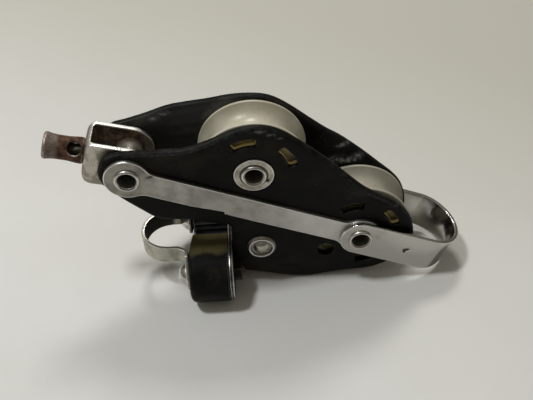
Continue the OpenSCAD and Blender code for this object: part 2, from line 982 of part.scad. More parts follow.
// Base plate: a bar with a round end about each screw
module cleat_plate() {
  color(dull_steel)
    difference() {
      plate_x(plate_x0, plate_x1) {
        for (side = [-1, 1])
          translate([side * pivot_y, pivot_z])
            circle(r = plate_r);
        translate([-pivot_y, pivot_z - plate_r])
          square([2 * pivot_y, 2 * plate_r]);
      }
      at_both_screws()
        rod_x(screw_r + fixed_fit, plate_x0 - cut, plate_x1 + cut);
    }
}

// Bracket that holds the base plate between the cheeks
bracket_t = 2;
bracket_gap = 0.2;
bracket_half = cheek_in - bracket_gap;
bracket_below = 1.6;
bracket_above = 19.4;
rivet_rest = [rivet_at[0] * cos(lean) + rivet_at[2] * sin(lean),
              -rivet_at[0] * sin(lean) + rivet_at[2] * cos(lean)];
bracket_z0 = pivot_z - bracket_below;
bracket_z1 = pivot_z + bracket_above;
ear_r = 7;
spacer_t = 1.4;

module bracket_side() {
  translate([rivet_rest[0], rivet_rest[1]])
    circle(r = ear_r);
  polygon([[plate_x1, bracket_z0], [rivet_rest[0], rivet_rest[1] - ear_r],
           [rivet_rest[0], rivet_rest[1] + ear_r], [plate_x1, bracket_z1]]);
}

module cleat_bracket() {
  color(dull_steel)
    difference() {
      plate_y(-bracket_half, bracket_half)
        bracket_side();
      translate([0, 0, bracket_z0 - ear_r])
        linear_extrude(height = bracket_z1 - bracket_z0 + 2 * ear_r)
          translate([plate_x1 + bracket_t, -bracket_half + bracket_t])
            square([rivet_rest[0] + ear_r - plate_x1, 2 * (bracket_half - bracket_t)]);
      translate([rivet_rest[0], 0, rivet_rest[1]])
        rod_y(rivet_r + fixed_fit, -bracket_half - cut, bracket_half + cut);
    }
}

module cleat_spacer() {
  half = bracket_half - bracket_t;
  color(dull_steel)
    rested()
      translate(rivet_at)
        ring_y(rivet_r + fixed_fit, rivet_r + spacer_t, -half, half);
}

cup_r = 7.2;
cup_in_r = 5.1;
cup_h = 1.7;
cup_floor = 0.7;
cup_edge = 0.5;

// Turned cup washers under the rivet's domes
module rivet_cups() {
  color(bright_steel)
    rested()
      translate(rivet_at)
        for (side = [-1, 1])
          scale([1, side, 1])
            turned_y()
              translate([0, cheek_out])
                polygon([
                  [rivet_r + fixed_fit, 0], [cup_r, 0], [cup_r, cup_edge],
                  [cup_r - cup_edge, cup_h - cup_edge], [cup_r - 2.5 * cup_edge, cup_h],
                  [cup_in_r + cup_edge, cup_h], [cup_in_r, cup_h - cup_edge],
                  [cup_in_r, cup_floor], [rivet_r + fixed_fit, cup_floor]]);
}

rivet_head_r = 4.5;
rivet_head_h = 2;

module cleat_rivet() {
  dome_r = (rivet_head_r * rivet_head_r + rivet_head_h * rivet_head_h) / (2 * rivet_head_h);
  seat = cheek_out + cup_floor;
  color(bright_steel)
    rested()
      translate(rivet_at) {
        rod_y(rivet_r, -seat, seat);
        for (side = [-1, 1])
          scale([1, side, 1])
            intersection() {
              translate([0, seat + rivet_head_h - dome_r, 0])
                sphere(r = dome_r);
              rod_y(rivet_head_r, seat, seat + rivet_head_h);
            }
      }
}

// Fairlead: a loop of strip in front of the cams

loop_x = cam_x0 - fairlead_reach + fairlead_r;
fairlead_rise = 13.4;
fairlead_z1 = pivot_z + fairlead_rise;
fairlead_z0 = fairlead_z1 - fairlead_w;

// The arms run straight for a little, flare out and fold into the ears
arm_l = 4.2;
arm_flare = 2.6;
arm_ease = 0.4;
fold_y = fairlead_r + arm_flare;
fairlead_ear_r = 7.4;
fairlead_ear_step = 2;
fairlead_ear_top = 3.2;

// Room that the arms leave round the screws' heads
head_gap = 0.3;

// Half of the loop seen from above, on the +Y side
module fairlead_half_plan() {
  difference() {
    intersection() {
      translate([loop_x, 0])
        circle(r = fairlead_r);
      translate([loop_x - fairlead_r - cut, 0])
        square([fairlead_r + cut, fairlead_r + cut]);
    }
    translate([loop_x, 0])
      circle(r = fairlead_r - fairlead_t);
  }
  polygon([
    [loop_x, fairlead_r - fairlead_t], [loop_x, fairlead_r],
    [loop_x + arm_l, fairlead_r], [ear_x0, fold_y], [ear_x1, fold_y],
    [ear_x1, fold_y - fairlead_t], [ear_x0 + arm_ease, fold_y - fairlead_t - arm_ease],
    [loop_x + arm_l + arm_ease, fairlead_r - fairlead_t]]);
}

module fairlead_ear_outline() {
  side = sqrt(fairlead_ear_r * fairlead_ear_r - fairlead_ear_step * fairlead_ear_step);
  translate([pivot_y, pivot_z])
    circle(r = fairlead_ear_r);
  polygon([
    [fold_y - fairlead_t, fairlead_z1], [fold_y + fairlead_ear_top, fairlead_z1],
    [pivot_y + side, pivot_z + fairlead_ear_step], [pivot_y, pivot_z - fairlead_ear_step],
    [pivot_y - side, pivot_z + fairlead_ear_step],
    [fold_y - fairlead_t, fairlead_z0 + fairlead_t]]);
}

module fairlead() {
  color(dull_steel)
    for (side = [-1, 1])
      scale([1, side, 1])
        difference() {
          union() {
            translate([0, 0, fairlead_z0])
              linear_extrude(height = fairlead_w)
                fairlead_half_plan();
            plate_x(ear_x0, ear_x1)
              fairlead_ear_outline();
          }
          translate([0, pivot_y, pivot_z]) {
            rod_x(screw_r + fixed_fit, ear_x0 - cut, ear_x1 + cut);
            rod_x(screw_head_d / 2 + head_gap, ear_x0 - screw_head_h - cut, ear_x0);
          }
        }
}

front_cheek();
rear_cheek();
front_strap();
rear_strap();
becket();
head_axle();
head_sheave_axle();
tail_sheave_axle();
head_sheave_bush();
tail_sheave_bush();
axle_washers();
head_sheave();
tail_sheave();
head_bush();
head_yoke();
swivel_post();
swivel_pin();
cleat_rivet();
rivet_cups();
cleat_spacer();
cleat_bracket();
cleat_plate();
near_cam();
far_cam();
cam_bushes();
cam_springs();
cleat_screws();
cleat_nuts();
fairlead();
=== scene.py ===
"""A fiddle block with a cam cleat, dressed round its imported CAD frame.

Every size in this file is in millimetres and every place is in the resting
pose: the origin is the middle of the head axle, Y runs along the axles and Z
is up.  Meshes are turned into metres when they are written.  Pieces that are
drawn along the load line are leaned into the resting pose by one function.
"""

import logging
import math
from collections.abc import Sequence
from dataclasses import dataclass
from enum import Enum

import bmesh
import bpy
import numpy as np
from mathutils import Matrix
from mathutils.geometry import delaunay_2d_cdt


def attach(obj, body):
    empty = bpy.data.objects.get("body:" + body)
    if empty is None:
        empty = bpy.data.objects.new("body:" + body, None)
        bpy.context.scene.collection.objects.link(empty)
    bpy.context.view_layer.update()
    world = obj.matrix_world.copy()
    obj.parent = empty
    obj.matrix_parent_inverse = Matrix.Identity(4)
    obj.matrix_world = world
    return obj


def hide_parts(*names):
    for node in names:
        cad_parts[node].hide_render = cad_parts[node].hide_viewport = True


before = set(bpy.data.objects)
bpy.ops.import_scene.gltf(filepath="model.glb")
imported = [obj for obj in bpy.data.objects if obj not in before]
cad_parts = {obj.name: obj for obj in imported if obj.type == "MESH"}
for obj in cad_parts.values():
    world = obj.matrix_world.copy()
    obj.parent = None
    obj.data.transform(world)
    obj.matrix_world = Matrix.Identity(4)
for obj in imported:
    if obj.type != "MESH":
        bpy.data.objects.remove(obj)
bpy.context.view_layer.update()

LOG = logging.getLogger("fiddle_block")
MM = 0.001
LEAN = math.radians(23.4)
YOKE_TILT = LEAN - math.radians(7.0)
FLOOR_Z = -74.5
MERGE_REACH = 0.002

Colour = tuple[float, float, float]
Place = tuple[float, float, float]


# Arrays and meshes


@dataclass
class Surface:
    """Points in millimetres and the faces between them.

    Attributes:
        points: One row of x, y and z for each point.
        faces: Lists of point numbers, one list for each face.
    """

    points: np.ndarray
    faces: list[list[int]]


def leaned(points: np.ndarray, angle: float = LEAN) -> np.ndarray:
    """Turn points about the Y axis into the resting pose.

    The new x is x cos a + z sin a, and the new z is z cos a - x sin a.

    Args:
        points: Rows of x, y and z.
        angle: The turn a in radians.

    Returns:
        The turned rows.
    """
    x, y, z = points[..., 0], points[..., 1], points[..., 2]
    c, s = math.cos(angle), math.sin(angle)
    return np.stack([x * c + z * s, y, z * c - x * s], axis=-1)


def laid_flat(points: np.ndarray, angle: float = LEAN) -> np.ndarray:
    """Turn points of the resting pose back to the frame of the load line."""
    return leaned(points, -angle)


def smooth_step(value: np.ndarray, low: float, high: float) -> np.ndarray:
    """Rise smoothly from 0 at low to 1 at high: t t (3 - 2 t) of the share t."""
    t = np.clip((value - low) / (high - low), 0.0, 1.0)
    return t * t * (3.0 - 2.0 * t)


def softened(corners: np.ndarray, radii: np.ndarray, steps: int = 6) -> np.ndarray:
    """Round the corners of a closed outline.

    Each corner becomes a quadratic curve that starts and ends one radius
    away from it along its two edges, or half an edge away on short edges:
    (1-t)(1-t) A + 2 t (1-t) P + t t B.

    Args:
        corners: Rows of two numbers, in order round the outline.
        radii: One rounding distance for each corner.
        steps: Points on each rounded corner.

    Returns:
        The rows of the rounded outline.
    """
    before = np.roll(corners, 1, axis=0) - corners
    after = np.roll(corners, -1, axis=0) - corners
    reach_a = np.linalg.norm(before, axis=1, keepdims=True)
    reach_b = np.linalg.norm(after, axis=1, keepdims=True)
    r = radii[:, None]
    a = corners + before / reach_a * np.minimum(r, reach_a * 0.49)
    b = corners + after / reach_b * np.minimum(r, reach_b * 0.49)
    t = np.linspace(0.0, 1.0, steps)[None, :, None]
    curve = (1 - t) ** 2 * a[:, None] + 2 * t * (1 - t) * corners[:, None]
    rows = (curve + t**2 * b[:, None]).reshape(-1, 2)
    keep = np.linalg.norm(rows - np.roll(rows, 1, axis=0), axis=1) > 1e-4
    return rows[keep]


def arc(
    centre: tuple[float, float], radius: float, start: float, end: float, count: int
) -> np.ndarray:
    """Points on a circle: centre + r (cos a, sin a).

    Args:
        centre: Middle of the circle.
        radius: Its radius.
        start: The first angle in degrees.
        end: The last angle.
        count: How many points.

    Returns:
        Rows of two numbers.
    """
    a = np.radians(np.linspace(start, end, count))
    return np.array(centre) + radius * np.stack([np.cos(a), np.sin(a)], axis=1)


def grid_quads(
    rows: int, columns: int, wrap_rows: bool, wrap_columns: bool
) -> np.ndarray:
    """Quads between the neighbours of a grid that is numbered row by row.

    Args:
        rows: Rows of points.
        columns: Points in each row.
        wrap_rows: True if the last row joins the first.
        wrap_columns: True if the end of a row joins its start.

    Returns:
        Four point numbers for each quad.
    """
    i = np.arange(rows if wrap_rows else rows - 1)[:, None]
    j = np.arange(columns if wrap_columns else columns - 1)[None, :]
    j2 = (j + 1) % columns
    row, row2 = i * columns, (i + 1) % rows * columns
    return np.stack([row + j, row + j2, row2 + j2, row2 + j], axis=-1).reshape(-1, 4)


def turned(
    profile: np.ndarray,
    centre: Place,
    along: Place = (0.0, 1.0, 0.0),
    segments: int = 128,
    ring: bool = True,
) -> Surface:
    """Carry a profile (radius, distance) round an axis.

    A point is centre + r cos a U + r sin a V + h W, where W is the axis and
    U and V stand square to it.

    Args:
        profile: Rows of radius and distance along the axis.
        centre: Where distance 0 lies on the axis.
        along: Direction of the axis.
        segments: Steps round the axis.
        ring: True if the profile is closed, False if it ends on the axis.

    Returns:
        The closed surface.
    """
    w = np.array(along) / np.linalg.norm(along)
    u = np.cross(w, [0.0, 0.0, 1.0])
    u = u / np.linalg.norm(u)
    v = np.cross(w, u)
    a = np.linspace(0, 2 * math.pi, segments, endpoint=False)[:, None]
    r, h = profile[None, :, 0], profile[None, :, 1]
    points = (
        np.array(centre)
        + (r * np.cos(a))[..., None] * u
        + (r * np.sin(a))[..., None] * v
        + (h + 0 * a)[..., None] * w
    )
    return Surface(
        points.reshape(-1, 3), grid_quads(segments, len(profile), True, ring).tolist()
    )


def inside_loops(points: np.ndarray, loops: list[np.ndarray]) -> np.ndarray:
    """Tell which points lie inside an odd number of closed loops.

    A point counts the loop edges that cross the line from it to the right.

    Args:
        points: Rows of two numbers.
        loops: Closed outlines as rows of two numbers.

    Returns:
        True for each point inside.
    """
    crossings = np.zeros(len(points), int)
    for loop in loops:
        a, b = loop, np.roll(loop, -1, axis=0)
        above = (a[None, :, 1] > points[:, 1:2]) != (b[None, :, 1] > points[:, 1:2])
        rise = np.where(b[:, 1] == a[:, 1], 1e-12, b[:, 1] - a[:, 1])
        at = a[:, 0] + (points[:, 1:2] - a[:, 1]) / rise * (b[:, 0] - a[:, 0])
        crossings += (above & (at > points[:, :1])).sum(axis=1)
    return crossings % 2 == 1


def eased_plate(
    loops: list[np.ndarray], low: float, high: float, ease: float
) -> Surface:
    """Build a flat plate with rounded edges from its outline and its holes.

    Each loop is carried through the thickness in rings.  A ring at the angle
    a of the rounding lies ease (1 - cos a) inside the loop and ease (1 - sin
    a) below the face.  The innermost rings lie 1.6 ease inside the loop, and
    the faces are filled with triangles between them.

    Args:
        loops: The outline, and then the holes, as rows of x and z.
        low: The face on the near side along Y.
        high: The face on the far side along Y.
        ease: Radius of the rounded edges.

    Returns:
        The closed surface, with Y as the plate's normal.
    """
    a = np.radians([0.0, 22.5, 45.0, 67.5, 90.0])
    inset = np.concatenate([[ease * 1.6], (ease * (1 - np.cos(a)))[::-1]])
    drop = np.concatenate([[0.0], (ease * (1 - np.sin(a)))[::-1]])
    inset = np.concatenate([inset, inset[::-1]])
    y = np.concatenate([low + drop, (high - drop)[::-1]])
    points, faces, rims, start = [], [], [], 0
    for number, loop in enumerate(loops):
        way = np.roll(loop, -1, axis=0) - np.roll(loop, 1, axis=0)
        way = way / np.linalg.norm(way, axis=1, keepdims=True)
        x, z = loop.T
        area = (x * np.roll(z, -1) - z * np.roll(x, -1)).sum()
        inward = np.stack([-way[:, 1], way[:, 0]], axis=1) * np.sign(area)
        inward = inward if number == 0 else -inward
        flat = loop[None] + inset[:, None, None] * inward[None]
        level = np.repeat(y[:, None], len(loop), axis=1)
        rows = np.stack([flat[..., 0], level, flat[..., 1]], axis=-1)
        points.append(rows.reshape(-1, 3))
        faces.append(grid_quads(len(y), len(loop), False, True) + start)
        rims.append((flat[0], start, start + (len(y) - 1) * len(loop)))
        start += rows.shape[0] * rows.shape[1]
    flat_points = np.concatenate([rim[0] for rim in rims])
    near = np.concatenate([rim[1] + np.arange(len(rim[0])) for rim in rims])
    far = np.concatenate([rim[2] + np.arange(len(rim[0])) for rim in rims])
    triangles = triangles_between([rim[0] for rim in rims], flat_points)
    faces_all = [f for block in faces for f in block.tolist()]
    faces_all += near[triangles].tolist() + far[triangles].tolist()
    return Surface(np.concatenate(points), faces_all)


def triangles_between(loops: list[np.ndarray], points: np.ndarray) -> np.ndarray:
    """Fill the area between an outline and its holes with triangles.

    The triangles are a constrained Delaunay set on the loops' own points,
    and those whose middles lie outside the area are left out.

    Args:
        loops: The outline and the holes.
        points: All their points, one loop after another.

    Returns:
        Three point numbers for each triangle.
    """
    edges, start = [], 0
    for loop in loops:
        i = np.arange(len(loop))
        edges.append(np.stack([start + i, start + (i + 1) % len(loop)], axis=1))
        start += len(loop)
    found = delaunay_2d_cdt(
        points.tolist(), np.concatenate(edges).tolist(), [], 0, 1e-7, True
    )
    origin = np.array([o[0] for o in found[3]])
    corners = np.array([list(f) for f in found[2] if len(f) == 3])
    centres = np.array([list(v) for v in found[0]])[corners].mean(axis=1)
    return origin[corners[inside_loops(centres, loops)]]


def joined(surfaces: list[Surface]) -> Surface:
    """Put turned surfaces into one, numbering their points one after another.

    Args:
        surfaces: The surfaces, each of quads alone.

    Returns:
        The one surface.
    """
    faces, start = [], 0
    for surface in surfaces:
        faces += (np.array(surface.faces) + start).tolist()
        start += len(surface.points)
    return Surface(np.concatenate([surface.points for surface in surfaces]), faces)


def mirrored(half: np.ndarray) -> np.ndarray:
    """Continue half a section with its mirror image across distance 0."""
    return np.concatenate([half, half[::-1] * np.array([1.0, -1.0])])


def ring_pair(profile: np.ndarray, centre: Place) -> Surface:
    """Turn a section into one ring on each side of the middle plane."""
    sides = [profile * np.array([1.0, side]) for side in (-1.0, 1.0)]
    return joined([turned(section, centre) for section in sides])


def off_axle(points: np.ndarray, centre: Sequence[float]) -> np.ndarray:
    """Distance of points from a line along Y, given with its x first and z last."""
    return np.hypot(points[:, 0] - centre[0], points[:, 2] - centre[-1])


def inward_share(points: np.ndarray, normals: np.ndarray, x: float) -> np.ndarray:
    """Tell how far a surface faces the upright line through a place on X.

    The share is -(a . n) / |a|, where a is the way from the line to the
    point and n the normal, both without their heights.

    Args:
        points: Rows of x, y and z.
        normals: The normals at the points.
        x: Where the line stands.

    Returns:
        1 where the surface faces the line, -1 where it faces away.
    """
    away = points[:, :2] - np.array([x, 0.0])
    return -(away * normals[:, :2]).sum(1) / np.maximum(np.hypot(*away.T), 1e-9)


def read_rows(
    items: bpy.types.bpy_prop_collection, key: str, width: int = 3
) -> np.ndarray:
    """Read one property of all the points or values of a mesh.

    Args:
        items: The points or values.
        key: The property's name.
        width: How many numbers each item has.

    Returns:
        One row for each item.
    """
    flat = np.empty(len(items) * width, np.float32)
    items.foreach_get(key, flat)
    return flat.reshape(-1, width).astype(float)


def read_points(mesh: bpy.types.Mesh) -> np.ndarray:
    """Read a mesh's points as rows in millimetres."""
    return read_rows(mesh.vertices, "co") / MM


def read_normals(mesh: bpy.types.Mesh) -> np.ndarray:
    """Read a mesh's point normals as rows."""
    return read_rows(mesh.vertex_normals, "vector")


def write_points(mesh: bpy.types.Mesh, points: np.ndarray) -> None:
    """Write rows in millimetres into a mesh."""
    mesh.vertices.foreach_set("co", (points * MM).astype(np.float32).ravel())
    mesh.update()


def write_values(mesh: bpy.types.Mesh, name: str, values: np.ndarray) -> None:
    """Keep one number for each point of a mesh under a name that a material reads."""
    kept = mesh.attributes.get(name) or mesh.attributes.new(name, "FLOAT", "POINT")
    kept.data.foreach_set("value", values.astype(np.float32))


def read_values(mesh: bpy.types.Mesh, name: str) -> np.ndarray:
    """Read the numbers that a mesh keeps under a name."""
    return read_rows(mesh.attributes[name].data, "value", 1)[:, 0]


def mark_edges(mesh: bpy.types.Mesh, reach: float = 0.7, passes: int = 3) -> None:
    """Measure how sharply the surface bends at each point, for wear and for dirt.

    Along a mesh edge the bend is (turn of the normal) . (step) / (step .
    step), which is positive on an outer edge and negative in a corner.  A
    point takes the mean of its edges, evened out with its neighbours.

    Args:
        mesh: The mesh that gets the values "wear" and "crease".
        reach: Radius in millimetres at which the value reaches 1.
        passes: How often the values are evened out.
    """
    points, normals = read_points(mesh), read_normals(mesh)
    flat = np.empty(len(mesh.edges) * 2, np.int32)
    mesh.edges.foreach_get("vertices", flat)
    a, b = flat.reshape(-1, 2).T
    step, turn = points[b] - points[a], normals[b] - normals[a]
    bend = (step * turn).sum(1) / np.maximum((step * step).sum(1), 1e-9)
    count = len(points)
    share = np.bincount(a, minlength=count) + np.bincount(b, minlength=count)
    share = np.maximum(share, 1)
    value = (np.bincount(a, bend, count) + np.bincount(b, bend, count)) / share
    for _ in range(passes):
        around = np.bincount(a, value[b], count) + np.bincount(b, value[a], count)
        value = 0.5 * value + 0.5 * around / share
    write_values(mesh, "wear", np.clip(value * reach, 0.0, 1.0))
    write_values(mesh, "crease", np.clip(-value * reach, 0.0, 1.0))


@dataclass(frozen=True)
class Mark:
    """A local mark on a surface, such as a dent or a stain.

    Attributes:
        at: Its place in the resting pose.
        size: Half widths along X, Y and Z.
        depth: How far the surface sinks against its normal.
        strength: How strongly the material shows it.
        rim: Share of its half width at which it is strongest, 0 for its middle.
    """

    at: Place
    size: Place
    depth: float = 0.0
    strength: float = 1.0
    rim: float = 0.0

    def distance(self, points: np.ndarray) -> np.ndarray:
        """Distance from the mark's middle in half widths."""
        away = (points - np.array(self.at)) / np.array(self.size)
        return np.linalg.norm(away, axis=1)

    def sink(self, points: np.ndarray) -> np.ndarray:
        """Depth at each point: depth exp(-d d)."""
        return self.depth * np.exp(-self.distance(points) ** 2)

    def shade(self, points: np.ndarray) -> np.ndarray:
        """Strength of the mark: a bell round the rim's distance.

        Args:
            points: Rows of x, y and z.

        Returns:
            The strength at each point.
        """
        width = 0.35 if self.rim else 0.75
        off = (self.distance(points) - self.rim) / width
        return self.strength * np.exp(-(off**2))


def press_marks(mesh: bpy.types.Mesh, marks: Sequence[Mark]) -> None:
    """Sink the dents of the marks into a mesh along its normals.

    Args:
        mesh: The mesh.
        marks: The marks, at least one.
    """
    points = read_points(mesh)
    depth = sum(mark.sink(points) for mark in marks)
    write_points(mesh, points - read_normals(mesh) * depth[:, None])


def shade_marks(mesh: bpy.types.Mesh, name: str, marks: Sequence[Mark]) -> None:
    """Keep the joint strength of the marks as a value of the mesh.

    Args:
        mesh: The mesh.
        name: Name of the value.
        marks: The marks, at least one.
    """
    points = read_points(mesh)
    total = sum(mark.shade(points) for mark in marks)
    write_values(mesh, name, np.clip(total, 0.0, 1.0))


def merge_points(mesh: bpy.types.Mesh, turn_out: bool) -> None:
    """Join the points of a mesh that lie on each other.

    Args:
        mesh: The mesh.
        turn_out: True if its faces are then turned outwards.
    """
    work = bmesh.new()
    work.from_mesh(mesh)
    bmesh.ops.remove_doubles(work, verts=work.verts, dist=MERGE_REACH * MM)
    if turn_out:
        bmesh.ops.recalc_face_normals(work, faces=work.faces)
    work.to_mesh(mesh)
    work.free()
    mesh.update()


def put_up(name: str, data: bpy.types.ID) -> bpy.types.Object:
    """Make an object and put it into the scene.

    Args:
        name: Name of the object.
        data: Its mesh, light or camera.

    Returns:
        The object.
    """
    obj = bpy.data.objects.new(name, data)
    bpy.context.scene.collection.objects.link(obj)
    return obj


def new_piece(name: str, surface: Surface) -> bpy.types.Object:
    """Make a smooth-shaded object of a closed surface, and measure its edges.

    Args:
        name: Name of the piece.
        surface: Its surface in the resting pose.

    Returns:
        The object.
    """
    mesh = bpy.data.meshes.new(name)
    mesh.from_pydata((surface.points * MM).tolist(), [], surface.faces)
    merge_points(mesh, turn_out=True)
    mesh.shade_smooth()
    mark_edges(mesh)
    return put_up(name, mesh)


def worn_copy(node: str, name: str, voxel: float, smoothing: int) -> bpy.types.Object:
    """Copy a CAD node as a fine even mesh whose edges are eased by use.

    The copy is merged, laid out anew on small cubes and smoothed, so that a
    dent or a nick can be pressed into it.

    Args:
        node: The CAD node that is copied.
        name: Name of the new piece.
        voxel: Size of the cubes in millimetres.
        smoothing: How often the points move towards their neighbours.

    Returns:
        The new object, with its edges measured.
    """
    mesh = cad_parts[node].data.copy()
    mesh.materials.clear()
    merge_points(mesh, turn_out=False)
    obj = put_up(name, mesh)
    remesh = obj.modifiers.new("even", "REMESH")
    remesh.mode, remesh.voxel_size, remesh.adaptivity = "VOXEL", voxel * MM, 0.0
    soft = obj.modifiers.new("soft", "SMOOTH")
    soft.factor, soft.iterations = 0.5, smoothing
    graph = bpy.context.evaluated_depsgraph_get()
    fine = bpy.data.meshes.new_from_object(obj.evaluated_get(graph))
    obj.modifiers.clear()
    obj.data = fine
    bpy.data.meshes.remove(mesh)
    fine.name = name
    fine.shade_smooth()
    mark_edges(fine)
    return obj


def place(
    obj: bpy.types.Object, body: str, material: bpy.types.Material, node: str
) -> None:
    """Let a piece ride on its body, stand for its CAD node and wear its material.

    Args:
        obj: The piece.
        body: The body that carries it.
        material: Its material.
        node: The CAD node that it takes the place of.
    """
    obj.data.materials.clear()
    obj.data.materials.append(material)
    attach(obj, body)
    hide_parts(node)
    LOG.info("%s: %d faces on %s", obj.name, len(obj.data.polygons), body)


def dress_node(node: str, material: bpy.types.Material) -> None:
    """Give a CAD node that keeps its shape its material.

    Args:
        node: The node.
        material: Its material.
    """
    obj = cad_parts[node]
    obj.data.materials.clear()
    obj.data.materials.append(material)
    LOG.info("%s keeps its CAD shape", node)


# Materials


class Bench:
    """Adds and joins nodes in one node tree."""

    def __init__(self, tree: bpy.types.NodeTree) -> None:
        """Work on a tree."""
        self.tree = tree

    def add(
        self, kind: str, options: dict | None = None, **inputs: object
    ) -> bpy.types.Node:
        """Add a node.

        Args:
            kind: The node's type name.
            options: Settings of the node itself.
            inputs: Values or sockets for its inputs, by name with _ for a
                space, or i and a number for one by its place.

        Returns:
            The node.
        """
        node = self.tree.nodes.new(kind)
        for key, value in (options or {}).items():
            setattr(node, key, value)
        for key, value in inputs.items():
            by_place = key[0] == "i" and key[1:].isdigit()
            socket = node.inputs[int(key[1:]) if by_place else key.replace("_", " ")]
            self.feed(socket, value)
        return node

    def feed(self, socket: bpy.types.NodeSocket, value: object) -> None:
        """Join a socket to an input, or set the input's own value.

        Args:
            socket: The input.
            value: A socket, a number, a vector or a colour.
        """
        if isinstance(value, bpy.types.NodeSocket):
            self.tree.links.new(value, socket)
        elif socket.type == "RGBA":
            socket.default_value = (*value, 1.0)
        else:
            socket.default_value = value

    def math(self, operation: str, a: object, b: object = 0.0) -> bpy.types.NodeSocket:
        """One sum of two numbers."""
        kind = {"operation": operation}
        return self.add("ShaderNodeMath", kind, i0=a, i1=b).outputs[0]

    def times(self, a: object, b: object) -> bpy.types.NodeSocket:
        """Number a times b."""
        return self.math("MULTIPLY", a, b)

    def plus(self, a: object, b: object) -> bpy.types.NodeSocket:
        """Number a and b together."""
        return self.math("ADD", a, b)

    def minus(self, a: object, b: object) -> bpy.types.NodeSocket:
        """Number a less b."""
        return self.math("SUBTRACT", a, b)

    def larger(self, a: object, b: object) -> bpy.types.NodeSocket:
        """The larger of a and b."""
        return self.math("MAXIMUM", a, b)

    def blend(self, mask: object, a: object, b: object) -> bpy.types.NodeSocket:
        """Colour a where the mask is 0 and b where it is 1."""
        node = self.add("ShaderNodeMix", {"data_type": "RGBA"}, i0=mask, i6=a, i7=b)
        return node.outputs[2]

    def layered(self, colour: object, *coats: tuple[object, object]) -> object:
        """Lay coats over a colour.

        Args:
            colour: The colour below.
            coats: For each coat its mask and the colour that it brings.

        Returns:
            The colour on top.
        """
        for mask, coat in coats:
            colour = self.blend(mask, colour, coat)
        return colour

    def between(self, mask: object, a: object, b: object) -> bpy.types.NodeSocket:
        """Number a where the mask is 0 and b where it is 1."""
        node = self.add("ShaderNodeMix", {"data_type": "FLOAT"}, i0=mask, i2=a, i3=b)
        return node.outputs[0]

    def ramp(self, value: object, low: object, high: object) -> bpy.types.NodeSocket:
        """Rise smoothly from 0 to 1.

        Args:
            value: The number that is looked at.
            low: Where the rise starts.
            high: Where it ends.

        Returns:
            The risen share.
        """
        smooth = {"interpolation_type": "SMOOTHSTEP"}
        node = self.add("ShaderNodeMapRange", smooth, i0=value, i1=low, i2=high)
        return node.outputs[0]

    def noise(
        self, vector: object, scale: object, detail: float, roughness: float = 0.5
    ) -> bpy.types.NodeSocket:
        """Cloudy noise about 0.5."""
        inputs = {"Vector": vector, "Scale": scale, "Detail": detail}
        return self.add("ShaderNodeTexNoise", Roughness=roughness, **inputs).outputs[0]

    def value_of(self, name: str) -> bpy.types.NodeSocket:
        """The number that the mesh keeps under a name."""
        return self.add("ShaderNodeAttribute", {"attribute_name": name}).outputs["Fac"]


class Groups(Enum):
    """The effects that several materials share."""

    PATCHES = "patches"
    RUBBED = "rubbed_edges"
    GRAIN = "grain"
    SPECKS = "specks"
    CAKED = "caked_dirt"


